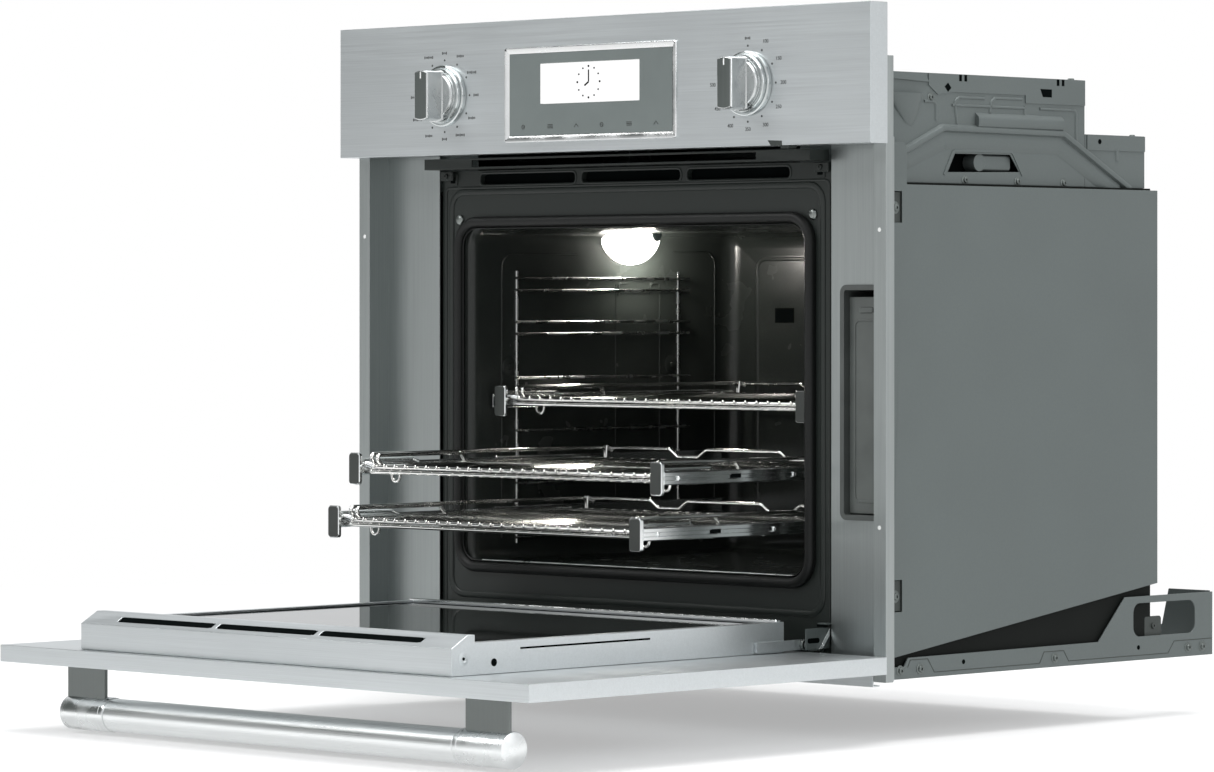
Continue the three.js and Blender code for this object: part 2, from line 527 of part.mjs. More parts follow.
function door() {
  const { top, bottom, outer, inner, sheet } = DOOR;
  const { half: view, lap } = DOOR_WINDOW;
  node('door_panel', cut(box(-HALF_WIDTH, HALF_WIDTH, top, bottom, outer, inner), [
    box(-HALF_WIDTH + sheet, HALF_WIDTH - sheet, top + sheet, bottom - sheet, outer + sheet, inner - sheet),
    box(-250, 250, -505, -80, inner - 3, inner + 1),
    alongZ(roundedOutline(-view, view, DOOR_WINDOW.y0, DOOR_WINDOW.y1, 6), outer - 1, outer + sheet + 1),
  ]), 'stainless');

  const { half, wall, cap, capEnd } = DOOR_FRAME;
  const base = inner + TOUCH_GAP;
  const slot = (x) => {
    const groove = new THREE.BoxGeometry(140, 7, 12);
    groove.rotateX(Math.PI / 4);
    groove.translate(x, -508.5, 57);
    return toManifold(groove);
  };
  const well = DOOR_GLASS.half + 0.4;
  node('door_inner_frame', cut(alongX(outline([
    [DOOR_FRAME.top, base], [DOOR_FRAME.bottom, base], [DOOR_FRAME.bottom, wall], [capEnd, wall],
    [capEnd, cap], [-496.9, cap], [DOOR_FRAME.top, 51],
  ]), -half, half), [
    box(-well, well, DOOR_GLASS.y0 - 0.4, DOOR_GLASS.y1 + 0.4, base - 1, cap + 1),
    box(-half + 1.6, half - 1.6, DOOR_FRAME.top + 1.6, DOOR_GLASS.y0 - 2, base - 1, 45),
    slot(-147), slot(0), slot(147),
  ]), 'stainless');
  node('door_inner_glass',
    box(-DOOR_GLASS.half, DOOR_GLASS.half, DOOR_GLASS.y0, DOOR_GLASS.y1, 49.4, 53.4), 'darkGlass');
  const paneStart = outer + sheet + TOUCH_GAP;
  node('door_outer_glass', box(-view - lap, view + lap, DOOR_WINDOW.y0 - lap, DOOR_WINDOW.y1 + lap,
    paneStart, paneStart + DOOR_WINDOW.pane), 'darkGlass');

  const { y, z, bar, sleeve, sleeveStart, sleeveEnd } = HANDLE;
  node('handle_bar', rod([-sleeveStart + TOUCH_GAP, y, z], [sleeveStart - TOUCH_GAP, y, z], bar, 24),
    'stainless');
  pair('handle_post', join([
    rod([sleeveStart, y, z], [sleeveEnd, y, z], sleeve, 24),
    box(sleeveEnd - 58, sleeveEnd - 1, y - 7, y - 2, z + 8, outer - TOUCH_GAP),
  ]), 'chrome');
}

controlPanel();
frontTrims();
cavityFrame();
cavity();
rackSupports();
for (const rack of RACKS) {
  rackGrid(rack);
  rackRunner(rack);
}
steamSystem();
casing();
cooling();
base();
hinges();
door();

export default part;
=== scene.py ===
# Built-in wall oven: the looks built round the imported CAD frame.
# Shapes are written in millimetres in the frame's own axes, and become metres when a mesh is made.

import math

import bmesh
import bpy
from mathutils import Matrix, Vector


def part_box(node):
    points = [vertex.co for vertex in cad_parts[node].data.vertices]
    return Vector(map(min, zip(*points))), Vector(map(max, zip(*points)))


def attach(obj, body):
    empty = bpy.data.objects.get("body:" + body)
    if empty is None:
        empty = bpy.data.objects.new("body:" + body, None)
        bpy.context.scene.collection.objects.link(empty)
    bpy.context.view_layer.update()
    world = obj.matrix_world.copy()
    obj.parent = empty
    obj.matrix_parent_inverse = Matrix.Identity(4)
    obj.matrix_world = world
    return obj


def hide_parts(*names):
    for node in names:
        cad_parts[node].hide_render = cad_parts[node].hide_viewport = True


MM = 0.001
SMOOTH_ANGLE = math.radians(38)
BEVEL_ANGLE = math.radians(32)
FLAT_CORNER = math.radians(88)  # half angle of a corner too flat to round
CORNER_SHARE = 0.48  # most of a leg that one arc may take
POLE_RADIUS = 0.02  # smallest ring of a turned solid
WELD_DISTANCE = 0.00002
MITRE_LIMIT = 0.4
FRONT = (0, -1, 0)
SIDES = (("left", -1), ("right", 1))

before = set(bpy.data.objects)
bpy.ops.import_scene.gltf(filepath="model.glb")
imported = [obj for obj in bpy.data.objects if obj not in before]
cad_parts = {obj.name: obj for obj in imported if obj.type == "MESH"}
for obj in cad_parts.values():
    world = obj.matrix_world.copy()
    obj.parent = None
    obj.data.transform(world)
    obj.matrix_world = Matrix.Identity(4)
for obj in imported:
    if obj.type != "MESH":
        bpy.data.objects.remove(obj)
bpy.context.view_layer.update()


def corners(node):
    """Lowest and highest corner of a CAD node, in millimetres."""
    low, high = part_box(node)
    return low / MM, high / MM


# ---- outlines and paths -------------------------------------------------------------------
def place(axis, u, v, d):
    """A point from two outline coordinates and a distance along axis."""
    return {"x": (d, u, v), "y": (u, d, v), "z": (u, v, d)}[axis]


def rounded(points, bend, closed=False, steps=5):
    """The path with each corner turned into an arc of radius bend, or less where it has no room."""
    points = [Vector(p) for p in points]
    if not bend:
        return points
    out = []
    for i, corner in enumerate(points):
        if not closed and i in (0, len(points) - 1):
            out.append(corner)
            continue
        back = points[i - 1] - corner
        ahead = points[(i + 1) % len(points)] - corner
        half = back.angle(ahead) / 2
        if half > FLAT_CORNER:
            out.append(corner)
            continue
        reach = min(bend / math.tan(half), CORNER_SHARE * back.length, CORNER_SHARE * ahead.length)
        radius = reach * math.tan(half)
        back.normalize()
        ahead.normalize()
        centre = corner + (back + ahead).normalized() * (radius / math.sin(half))
        start, end = corner + back * reach - centre, corner + ahead * reach - centre
        out += [centre + start.slerp(end, k / steps) * radius for k in range(steps + 1)]
    return out


def frame_path(low, high, axis, level, radius, steps=6):
    """Rounded rectangle in the plane that axis points out of."""
    (u0, v0), (u1, v1) = low, high
    ring = [place(axis, u, v, level) for u, v in ((u0, v0), (u1, v0), (u1, v1), (u0, v1))]
    return rounded(ring, radius, closed=True, steps=steps)


def rounded_outline(low, high, radius):
    """The same rectangle as flat (u, v) points."""
    return [(p.x, p.y) for p in frame_path(low, high, "z", 0, radius, 5)]


def even(*half):
    """A symmetrical section, from its half on the positive side."""
    return [*half, *((-side, rise) for side, rise in reversed(half))]


# ---- solids -------------------------------------------------------------------------------
class Shape:
    """Solids gathered into one mesh. Faces made while paint is n take the piece's material n."""

    def __init__(self):
        self.bm = bmesh.new()
        self.paint = 0

    def face(self, verts):
        made = self.bm.faces.new(verts)
        made.material_index = self.paint
        made.smooth = True

    def rows(self, rings):
        """Vertices for rings of points."""
        return [[self.bm.verts.new(p) for p in ring] for ring in rings]

    def bands(self, pairs):
        """Quads between each pair of rows."""
        for a, b in pairs:
            for i in range(len(a)):
                j = (i + 1) % len(a)
                self.face([a[i], a[j], b[j], b[i]])

    def skin(self, rings, closed=False):
        """Quads between rings of points, with flat ends unless the last ring meets the first."""
        rows = self.rows(rings)
        self.bands([*zip(rows, rows[1:])] + [(rows[-1], rows[0])] * closed)
        if not closed:
            self.face(rows[0][::-1])
            self.face(rows[-1])

    def prism(self, outline, axis, start, end):
        """A flat (u, v) outline drawn out along axis."""
        self.skin([[place(axis, u, v, d) for u, v in outline] for d in (start, end)])

    def box(self, low, high):
        (x0, y0, z0), (x1, y1, z1) = low, high
        self.prism([(x0, y0), (x1, y0), (x1, y1), (x0, y1)], "z", z0, z1)

    def pad(self, low, high, axis, start, end, radius, edge=0.0):
        """Block with a rounded outline, and an edge that slopes in over the last edge millimetres."""
        rings = [(rounded_outline(low, high, radius), start)]
        if edge:
            step = math.copysign(edge, end - start)
            inner = ((low[0] + edge, low[1] + edge), (high[0] - edge, high[1] - edge))
            rings += [(rings[0][0], end - step),
                      (rounded_outline(*inner, max(radius - edge, 0.2)), end)]
        else:
            rings.append((rings[0][0], end))
        self.skin([[place(axis, u, v, d) for u, v in ring] for ring, d in rings])

    def lathe(self, profile, centre, axis, segments):
        """Turned solid: (radius, distance) pairs along axis from centre."""
        x, y, z = centre
        u0, v0, d0 = {"x": (y, z, x), "y": (x, z, y), "z": (x, y, z)}[axis]
        turn = [2 * math.pi * i / segments for i in range(segments)]
        self.skin([[place(axis, u0 + max(r, POLE_RADIUS) * math.cos(a),
                          v0 + max(r, POLE_RADIUS) * math.sin(a), d0 + d)
                    for a in turn] for r, d in profile])

    def tube(self, points, radius, sides, bend=0.0, closed=False):
        """Round wire along a path, carried without twist."""
        path = rounded(points, bend, closed)
        count = len(path)
        tangents = []
        for i in range(count):
            ahead = path[(i + 1) % count] if closed or i < count - 1 else path[i]
            behind = path[i - 1] if closed or i else path[i]
            tangents.append((ahead - behind).normalized())
        normal = tangents[0].orthogonal().normalized()
        if closed:
            normal = (path[1] - path[0]).cross(path[2] - path[1])
            if normal.length < 1e-6:
                normal = tangents[0].orthogonal()
            normal.normalize()
        rings = []
        for point, tangent in zip(path, tangents):
            normal = (normal - tangent * normal.dot(tangent)).normalized()
            side = tangent.cross(normal)
            rings.append([point + radius * (math.cos(a) * normal + math.sin(a) * side)
                          for a in (2 * math.pi * k / sides for k in range(sides))])
        self.skin(rings, closed)

    def sweep(self, section, path, up, closed=False):
        """A section of (side, rise) points carried along a flat path that up points out of."""
        up = Vector(up)
        path = [Vector(p) for p in path]
        count = len(path)
        rings = []
        for i, point in enumerate(path):
            ahead = path[(i + 1) % count] - point if closed or i < count - 1 else point - path[i - 1]
            behind = point - path[i - 1] if closed or i else path[1] - point
            ahead.normalize()
            behind.normalize()
            side = (ahead + behind).normalized().cross(up)
            mitre = 1 / max(MITRE_LIMIT, math.cos(ahead.angle(behind) / 2))
            rings.append([point + side * s * mitre + up * r for s, r in section])
        self.skin(rings, closed)

    def screw(self, centre, axis, radius, out=1):
        """Pan head with a socket in it."""
        profile = [(radius, -0.6), (radius, 0.35 * radius), (0.86 * radius, 0.55 * radius),
                   (0.42 * radius, 0.62 * radius), (0.36 * radius, 0.3 * radius), (0, 0.25 * radius)]
        self.lathe([(r, out * d) for r, d in profile], centre, axis, 20)

    def mirror(self):
        """Adds the mirror image on the other side of the middle plane."""
        bm = self.bm
        made = bmesh.ops.duplicate(bm, geom=bm.verts[:] + bm.edges[:] + bm.faces[:])
        verts = [g for g in made["geom"] if isinstance(g, bmesh.types.BMVert)]
        bmesh.ops.scale(bm, vec=(-1, 1, 1), verts=verts)


def linked(name, data, location=(0, 0, 0)):
    """A new object of this data in the scene."""
    made = bpy.data.objects.new(name, data)
    made.location = location
    bpy.context.scene.collection.objects.link(made)
    return made


def soften(piece, width):
    """Rounds a piece's sharp edges and lets its flat faces keep flat shading."""
    weld = piece.modifiers.new("weld", "WELD")
    weld.merge_threshold = WELD_DISTANCE
    edge = piece.modifiers.new("edge", "BEVEL")
    edge.width = width * MM
    edge.segments = 2
    edge.limit_method = "ANGLE"
    edge.angle_limit = BEVEL_ANGLE
    piece.modifiers.new("normals", "WEIGHTED_NORMAL").keep_sharp = False


def emit(name, shape, looks, body, replaces=(), edge=0.0):
    """Turns a shape into a piece that rides on a body and takes its finish from a slot."""
    bmesh.ops.recalc_face_normals(shape.bm, faces=shape.bm.faces)
    bmesh.ops.scale(shape.bm, vec=(MM, MM, MM), verts=shape.bm.verts)
    mesh = bpy.data.meshes.new(name)
    shape.bm.to_mesh(mesh)
    shape.bm.free()
    for look in looks if isinstance(looks, list) else [looks]:
        mesh.materials.append(look)
    piece = linked(name, mesh)
    if edge:
        soften(piece, edge)
    else:
        mesh.set_sharp_from_angle(angle=SMOOTH_ANGLE)
    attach(piece, body)
    if replaces:
        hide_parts(*replaces)


def emit_pair(name, shape, look, edge=0.0):
    """The same for a shape with its mirror image, fixed to the oven."""
    shape.mirror()
    emit(name, shape, look, "oven", edge=edge)


def dress(look, edge, *nodes):
    """Gives CAD nodes their finish, and rounds their edges."""
    for node in nodes:
        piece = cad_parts[node]
        mesh = piece.data
        for name in ("custom_normal", "sharp_edge", "sharp_face"):
            if name in mesh.attributes:
                mesh.attributes.remove(mesh.attributes[name])
        mesh.materials.clear()
        mesh.materials.append(look)
        soften(piece, edge)


# ---- finishes -----------------------------------------------------------------------------
def add_node(tree, kind, sockets, **settings):
    """A shader node with these settings; each socket takes a value or another node's output."""
    node = tree.nodes.new("ShaderNode" + kind)
    for name, value in settings.items():
        setattr(node, name, value)
    for socket, value in sockets.items():
        if isinstance(value, bpy.types.NodeSocket):
            tree.links.new(value, node.inputs[socket])
        else:
            node.inputs[socket].default_value = value
    return node


class Finish:
    """A Principled material with its colour, roughness and bump driven by procedural textures."""

    def __init__(self, name, **constants):
        self.material = bpy.data.materials.new(name)
        self.material.use_nodes = True
        self.tree = self.material.node_tree
        self.shader = next(n for n in self.tree.nodes if n.type == "BSDF_PRINCIPLED")
        for socket, value in constants.items():
            self.shader.inputs[socket.replace("_", " ")].default_value = value
        self.where = self.add("TexCoord", {}).outputs["Object"]
        self.height = None

    def add(self, kind, sockets, **settings):
        return add_node(self.tree, kind, sockets, **settings)

    def noise(self, scale, detail, roughness=0.5):
        """Noise with scale features a metre, which may differ along X, Y and Z."""
        scales = scale if hasattr(scale, "__len__") else (scale,) * 3
        stretch = self.add("Mapping", {"Vector": self.where, "Scale": scales})
        grain = self.add("TexNoise", {"Vector": stretch.outputs["Vector"], "Scale": 1.0, "Detail": detail,
                                      "Roughness": roughness})
        return grain.outputs["Fac"]

    def between(self, source, low, high, start=0.3, end=0.7):
        """The source's range start to end turned into low to high."""
        limits = {"From Min": start, "From Max": end, "To Min": low, "To Max": high}
        return self.add("MapRange", {"Value": source, **limits}).outputs["Result"]

    def sum(self, a, b):
        return self.add("Math", {0: a, 1: b}, operation="ADD").outputs[0]

    def colour(self, source, dark, light, start=0.3, end=0.7):
        """Base colour running from dark to light with the source."""
        ramp = self.add("ValToRGB", {"Fac": source})
        for element, position, value in zip(ramp.color_ramp.elements, (start, end), (dark, light)):
            element.position = position
            element.color = (*value, 1.0)
        self.tree.links.new(ramp.outputs["Color"], self.shader.inputs["Base Color"])
        return ramp.outputs["Color"]

    def roughness(self, source, low, high):
        self.tree.links.new(self.between(source, low, high), self.shader.inputs["Roughness"])

    def bump(self, source, depth, strength):
        """Relief of depth millimetres from the source, on top of any earlier relief."""
        below = {"Normal": self.height} if self.height else {}
        node = self.add("Bump", {"Height": source, "Strength": strength, "Distance": depth * MM, **below})
        self.height = node.outputs["Normal"]
        self.tree.links.new(self.height, self.shader.inputs["Normal"])


def scaled(colour, factor):
    """The colour made lighter or darker."""
    return tuple(c * factor for c in colour)


def brushed(name, grain, colour, rough, contrast=0.07):
    """Stainless sheet with fine lines along one axis, soft streaks, and faint handling marks."""
    look = Finish(name, Metallic=1.0)
    fine = look.noise([6.0 if axis == grain else 1500.0 for axis in "xyz"], 4.0, 0.6)
    streak = look.noise([9.0 if axis == grain else 420.0 for axis in "xyz"], 3.0, 0.6)
    marks = look.noise(7.0, 2.0, 0.4)
    lines = look.sum(look.between(fine, -0.5, 0.5, 0.2, 0.8),
                     look.between(streak, 0.25, 0.75, 0.2, 0.8))
    look.colour(lines, scaled(colour, 1 - contrast), scaled(colour, 1 + contrast), 0.1, 0.9)
    wear = look.sum(look.between(marks, 0.2, 0.4), look.between(fine, 0.0, 0.4))
    look.roughness(wear, rough - 0.06, rough + 0.08)
    look.bump(fine, 0.012, 0.6)
    return look.material


def polished(name, colour, rough=0.08):
    """Bright plated steel, slightly clouded where it has been wiped."""
    look = Finish(name, Metallic=1.0)
    cloud = look.noise(38.0, 3.0, 0.55)
    look.colour(cloud, scaled(colour, 0.92), colour)
    look.roughness(cloud, rough * 0.6, rough * 1.7)
    look.bump(look.noise(60.0, 2.0), 0.02, 0.08)
    return look.material


def sheet_metal(name, colour, rough=0.48, metal=0.35, shine=0.5):
    """Plain coated sheet with a fine grain and slow changes of tone."""
    look = Finish(name, Metallic=metal, Specular_IOR_Level=shine)
    tone = look.noise(9.0, 3.0, 0.5)
    grain = look.noise(520.0, 2.0, 0.6)
    look.colour(look.sum(look.between(tone, 0.1, 0.6), look.between(grain, 0.0, 0.35)),
                scaled(colour, 0.93), scaled(colour, 1.06), 0.1, 0.9)
    look.roughness(tone, rough - 0.05, rough + 0.06)
    look.bump(grain, 0.03, 0.3)
    look.bump(look.noise(14.0, 1.0), 0.6, 0.12)
    return look.material


def enamelled(name, colour, rough, speck):
    """Fired enamel: a wet shine over fine pale specks and a slight orange peel."""
    look = Finish(name, Specular_IOR_Level=0.32, Coat_Weight=0.05, Coat_Roughness=0.1)
    specks = look.noise(1300.0, 1.0, 0.4)
    tone = look.noise(24.0, 3.0)
    look.colour(look.sum(look.between(specks, 0.0, 0.8, 0.62, 0.8), look.between(tone, 0.0, 0.2)),
                colour, scaled(colour, speck), 0.0, 1.0)
    look.roughness(tone, rough - 0.02, rough + 0.04)
    look.bump(look.noise(190.0, 2.0), 0.03, 0.2)
    return look.material


def moulded(name, colour, rough, grain=900.0, relief=0.03, shine=0.5):
    """Moulded plastic or rubber with a fine texture."""
    look = Finish(name, Specular_IOR_Level=shine)
    texture = look.noise(grain, 3.0, 0.6)
    tone = look.noise(30.0, 2.0)
    look.colour(tone, scaled(colour, 0.88), scaled(colour, 1.12))
    look.roughness(texture, rough - 0.07, rough + 0.07)
    look.bump(texture, relief, 0.5)
    return look.material


def coated_glass(name, colour, rough, ior=1.52):
    """Glass seen as a dark reflective face, with faint wiping haze."""
    look = Finish(name, IOR=ior)
    haze = look.noise(11.0, 4.0, 0.6)
    look.colour(haze, scaled(colour, 0.94), scaled(colour, 1.05))
    look.roughness(haze, rough * 0.5, rough * 2.0)
    return look.material


def glowing(name, colour, strength, spread):
    """Lit face, a little dimmer in slow patches and dark where it isn't lit."""
    look = Finish(name, Emission_Strength=strength, Roughness=0.3)
    tint = look.colour(look.noise(40.0, 2.0), scaled(colour, 1 - spread), colour)
    look.tree.links.new(tint, look.shader.inputs["Emission Color"])
    look.tree.links.remove(look.shader.inputs["Base Color"].links[0])
    look.shader.inputs["Base Color"].default_value = (0.02, 0.02, 0.02, 1.0)
    return look.material


STEEL = (0.56, 0.59, 0.60)
PALE_STEEL = (0.84, 0.86, 0.86)
steel_x = brushed("stainless_brushed_across", "x", STEEL, 0.34)
# Side trims: the brushed stainless made darker, a shaded copy that paints the shade under the panel's
# overhang onto them.
trim_steel_shaded = brushed("stainless_upright_painted_shade", "z", (0.33, 0.355, 0.352), 0.36)
runner_steel = brushed("runner_steel", "y", PALE_STEEL, 0.14, 0.03)
grip_face = brushed("knob_face_dark", "z", (0.13, 0.145, 0.14), 0.4, 0.06)
stem_steel = brushed("handle_stem_dark", "z", (0.17, 0.185, 0.18), 0.4, 0.05)
# The handle's stainless is paler than the door's: a lit copy that paints brighter reflections onto it.
handle_steel_lit = brushed("handle_brushed_lit_copy", "x", PALE_STEEL, 0.31, 0.04)
satin = polished("knob_steel", (0.60, 0.62, 0.62), 0.24)
display_trim = polished("display_trim", (0.86, 0.87, 0.87), 0.2)
chrome = polished("chrome", (0.80, 0.82, 0.82))
wire_chrome = polished("rack_chrome", (0.88, 0.88, 0.86), 0.09)
screw_steel = polished("screw_steel", (0.24, 0.26, 0.25), 0.3)
sleeve_steel = polished("handle_sleeve_steel", (0.82, 0.84, 0.84), 0.22)
# Steel for beads on the lower edges of the frame and cavity mouth: painted highlights on the enamel bends.
highlight_bead_steel = polished("highlight_bead_steel", (0.62, 0.66, 0.64), 0.3)
ladder_steel = polished("ladder_steel", (0.42, 0.43, 0.42), 0.22)
knob_ring = polished("knob_ring_steel", (0.60, 0.63, 0.63), 0.15)
casing_screw = polished("casing_screw_steel", (0.15, 0.168, 0.162), 0.42)
heater_steel = polished("heater_steel", (0.20, 0.18, 0.165), 0.35)
casing_grey = sheet_metal("casing_sheet", (0.100, 0.117, 0.115))
inner_grey = sheet_metal("inner_sheet", (0.038, 0.045, 0.042), 0.55)
# Near-black copy of the inner sheet: painted shade on the inner casing under the oven.
inner_shade_dark = sheet_metal("inner_sheet_painted_shade", (0.005, 0.0062, 0.0055), 0.75, 0.0, 0.12)
frame_enamel = enamelled("frame_enamel", (0.014, 0.018, 0.016), 0.42, 1.3)
cavity_enamel = enamelled("cavity_enamel", (0.018, 0.021, 0.019), 0.24, 2.0)
# Black for real black parts, and as painted shade in holes, slots, gaps and openings.
black_part_and_hole_shade = moulded("black_coating_and_hole_shade", (0.003, 0.004, 0.004), 0.7, shine=0.0)
gasket_rubber = moulded("gasket_rubber", (0.004, 0.0048, 0.0044), 0.5, 700.0, shine=0.3)
bay_plastic = moulded("bay_plastic", (0.065, 0.072, 0.069), 0.42)
tank_plastic = moulded("tank_plastic", (0.085, 0.095, 0.090), 0.36, 500.0, 0.02)
print_ink = moulded("print_ink", (0.030, 0.034, 0.032), 0.6)
cap_plastic = moulded("runner_cap_plastic", (0.030, 0.035, 0.032), 0.4)
pale_ink = moulded("pointer_ink", (0.75, 0.76, 0.75), 0.5)
board_green = moulded("board_green", (0.02, 0.075, 0.035), 0.4, 300.0)
panel_glass = coated_glass("display_glass", (0.145, 0.168, 0.164), 0.12)
door_glass = coated_glass("door_glass", (0.010, 0.012, 0.011), 0.02, 1.75)
screen_light = glowing("screen_light", (1.0, 1.0, 1.0), 1.0, 0.02)
lamp_light = glowing("lamp_light", (1.0, 0.96, 0.90), 9.0, 0.05)


# ---- control panel ------------------------------------------------------------------------
FASCIA_LOW = corners("control_fascia")[0]
PANEL_Y = FASCIA_LOW.y
KNOB_LOW, KNOB_HIGH = corners("knob_right")
KNOB_X = (KNOB_LOW.x + KNOB_HIGH.x) / 2
KNOB_Z = (KNOB_LOW.z + KNOB_HIGH.z) / 2
GRIP_HALF, GRIP_REACH = 9.8, 26.0
SCALE_RADIUS = 37.5
LABEL_RADIUS = 45.0
NUMBER_SIZE = 5.2
CLOCK_RADIUS = 16.0
KEY_X = (-98, -58.7, -21, 15.4, 54.3, 92)
KEY_Z = 549.0
KEY_STROKE = 0.42


def written(text, size):
    """Flat mesh of a number, centred on the origin in the X-Z plane, facing -Y."""
    curve = bpy.data.curves.new("number", "FONT")
    curve.body = text
    curve.size = size
    curve.align_x = "CENTER"
    curve.align_y = "CENTER"
    curve.extrude = 0.06
    curve.offset = 0.05
    holder = linked("number", curve)
    bpy.context.view_layer.update()
    mesh = bpy.data.meshes.new_from_object(holder.evaluated_get(bpy.context.evaluated_depsgraph_get()))
    mesh.transform(Matrix.Rotation(math.pi / 2, 4, "X"))
    bpy.data.objects.remove(holder)
    return mesh


def clock_point(x, z, radius, degrees):
    """Point at a clockwise angle from the top, in the panel's plane."""
    a = math.radians(degrees)
    return x + radius * math.sin(a), z + radius * math.cos(a)


def knob_scale(name, x, marks):
    """Dots round a knob, each with a number or, where the text is None, a short generic bar."""
    ink = Shape()
    for degrees, text in marks:
        u, v = clock_point(x, KNOB_Z, SCALE_RADIUS, degrees)
        ink.lathe([(1.15, 0.2), (1.15, -0.1)], (u, PANEL_Y, v), "y", 12)
        reach = LABEL_RADIUS + (2.5 if degrees % 180 else 0)
        u, v = clock_point(x, KNOB_Z, reach, degrees)
        if text:
            mesh = written(text, NUMBER_SIZE)
            mesh.transform(Matrix.Translation((u, PANEL_Y - 0.03, v)))
            ink.bm.from_mesh(mesh)
        else:
            width = 4.0 + 1.5 * (degrees // 30 % 3)
            count = round(width)
            step = 2 * width / count
            for k in range(count):
                left = u - width + step * k
                tall = 1.1 if k % 3 else 1.5
                ink.pad((left, v - tall), (left + 0.62 * step, v + tall), "y",
                        PANEL_Y + 0.2, PANEL_Y - 0.08, 0.4)
    emit(name, ink, print_ink, "oven")


def display():
    """Bevelled rim, lit screen with a clock face, and a row of touch keys."""
    low, high = corners("display_bezel")
    rim = Shape()
    path = frame_path((low.x + 2, low.z + 2), (high.x - 2, high.z - 2), "y", PANEL_Y, 1.6, 4)
    front = PANEL_Y - low.y
    section = [(-5.1, -0.6), (-4.5, front - 1.9), (0.8, front), (1.5, front - 0.2), (2, front - 0.9),
               (2, -0.6)]
    rim.sweep(section, path, FRONT, closed=True)
    emit("display_rim", rim, display_trim, "oven", ["display_bezel"])
    dress(panel_glass, 0.3, "display_glass")
    dress(screen_light, 0.4, "display_screen")
    dress(board_green, 0.3, "control_board")

    low, high = corners("display_screen")
    face = low.y
    x, z = (low.x + high.x) / 2 - 1, (low.z + high.z) / 2
    clock = Shape()
    for hour in range(12):
        u, v = clock_point(x, z, CLOCK_RADIUS, 30 * hour)
        size = 1.15 if hour % 3 == 0 else 0.95
        clock.lathe([(size, 0.3), (size, -0.4)], (u, face, v), "y", 10)
    for degrees, length, width in ((0, 12.4, 0.75), (238, 6.6, 0.95)):
        u, v = clock_point(x, z, length, degrees)
        clock.tube([(x, face, z), (u, face, v)], width, 8)
    emit("clock_face", clock, black_part_and_hole_shade, "oven")

    glass_face = corners("display_glass")[0].y
    marks = Shape()
    for i, u in enumerate(KEY_X):
        if i % 3 == 0:
            ring = frame_path((u - 2, KEY_Z - 2), (u + 2, KEY_Z + 2), "y", glass_face, 1.9, 3)
            marks.tube(ring, KEY_STROKE, 6, closed=True)
            marks.lathe([(0.6, 0.2), (0.6, -0.1)], (u, glass_face, KEY_Z), "y", 10)
        elif i % 3 == 1:
            for k in (-1.6, 0, 1.6):
                marks.tube([(u + s, glass_face, KEY_Z + k) for s in (-3.6, 3.6)], KEY_STROKE, 6)
        else:
            marks.tube([(u + s, glass_face, KEY_Z + k) for s, k in ((-3, -1.6), (0, 1.6), (3, -1.6))],
                       KEY_STROKE, 6)
    emit("touch_key_marks", marks, print_ink, "oven")


def knob(side, x):
    """Skirt, ring and dished disc, with a tall flat grip across it."""
    skirt_y = corners(f"knob_bezel_{side}")[1].y
    skirt = Shape()
    skirt.lathe([(26.4, 0), (32.5, 0), (32.5, -2.6), (31.8, -4.2), (30.6, -4.8), (30.2, -4.2), (29.6, -4.2),
                 (29.2, -5.2), (29.0, -7.9), (28.3, -8.9), (27.2, -9.0), (26.4, -8.2)],
                (x, skirt_y, KNOB_Z), "y", 72)
    emit(f"knob_skirt_{side}", skirt, knob_ring, "oven", [f"knob_bezel_{side}"])

    body = f"knob_{side}"
    tip = corners(body)[0].y
    dial = Shape()
    dial.lathe([(3, 16), (3, 4), (25.3, 4), (25.3, -9.6), (24.9, -10.6), (24.2, -10.6), (23.9, -10.0),
                (23.6, -12.6), (22.8, -13.7), (22.0, -13.9), (20.6, -13.2), (0, -12.7)],
               (x, skirt_y, KNOB_Z), "y", 72)
    emit(f"knob_disc_{side}", dial, satin, body, [body])

    def plan(grow, level):
        """Outline of the grip, grown by grow, with round ends."""
        points = []
        for sign in (1, -1):
            for k in range(-5, 6):
                u = (GRIP_HALF + grow) * k / 5 * sign
                v = sign * math.sqrt((GRIP_REACH + grow) ** 2 - u * u)
                points.append(place("y", x + u, KNOB_Z + v, level))
        return points

    grip = Shape()
    foot = skirt_y - 12.7
    grip.skin([plan(*ring) for ring in (
        (1.5, foot + 0.6), (1.5, foot - 0.6), (1.1, foot - 1.2), (0.3, foot - 1.6), (0.1, tip + 2.2),
        (-0.25, tip + 0.9), (-0.9, tip + 0.25), (-1.3, tip + 0.1))])
    grip.paint = 1
    grip.skin([plan(*ring) for ring in ((-1.3, tip + 0.4), (-1.35, tip + 0.02), (-1.6, tip))])
    grip.paint = 2
    grip.box((x - 0.8, tip - 0.05, KNOB_Z + 17.5), (x + 0.8, tip + 0.3, KNOB_Z + 24.0))
    emit(f"knob_grip_{side}", grip, [satin, grip_face, pale_ink], body)


def control_panel():
    """Display, knobs and their scales on the fascia, and the latch in its lower edge."""
    dress(steel_x, 0.5, "control_fascia")
    display()
    for side, sign in SIDES:
        knob(side, sign * KNOB_X)
    knob_scale("function_scale", -KNOB_X,
               [(d, None) for d in (0, 30, 60, 90, 120, 150, 180, 210, 240, 270, 330)])
    knob_scale("temperature_scale", KNOB_X,
               [(0, None)] + [(30 * i, str(50 + 50 * i)) for i in range(1, 10)])

    latch = Shape()
    z = FASCIA_LOW.z
    latch.prism([(256, z + 1.0), (268, z + 1.0), (266, z - 2.9), (256, z - 2.9)], "y", -62, -50)
    latch.prism([(243, z + 5.4), (262, z + 4.6), (262, z - 0.2), (247.5, z - 0.2)], "y",
                PANEL_Y - 0.35, PANEL_Y + 0.4)
    emit("panel_latch", latch, inner_grey, "oven", edge=0.3)


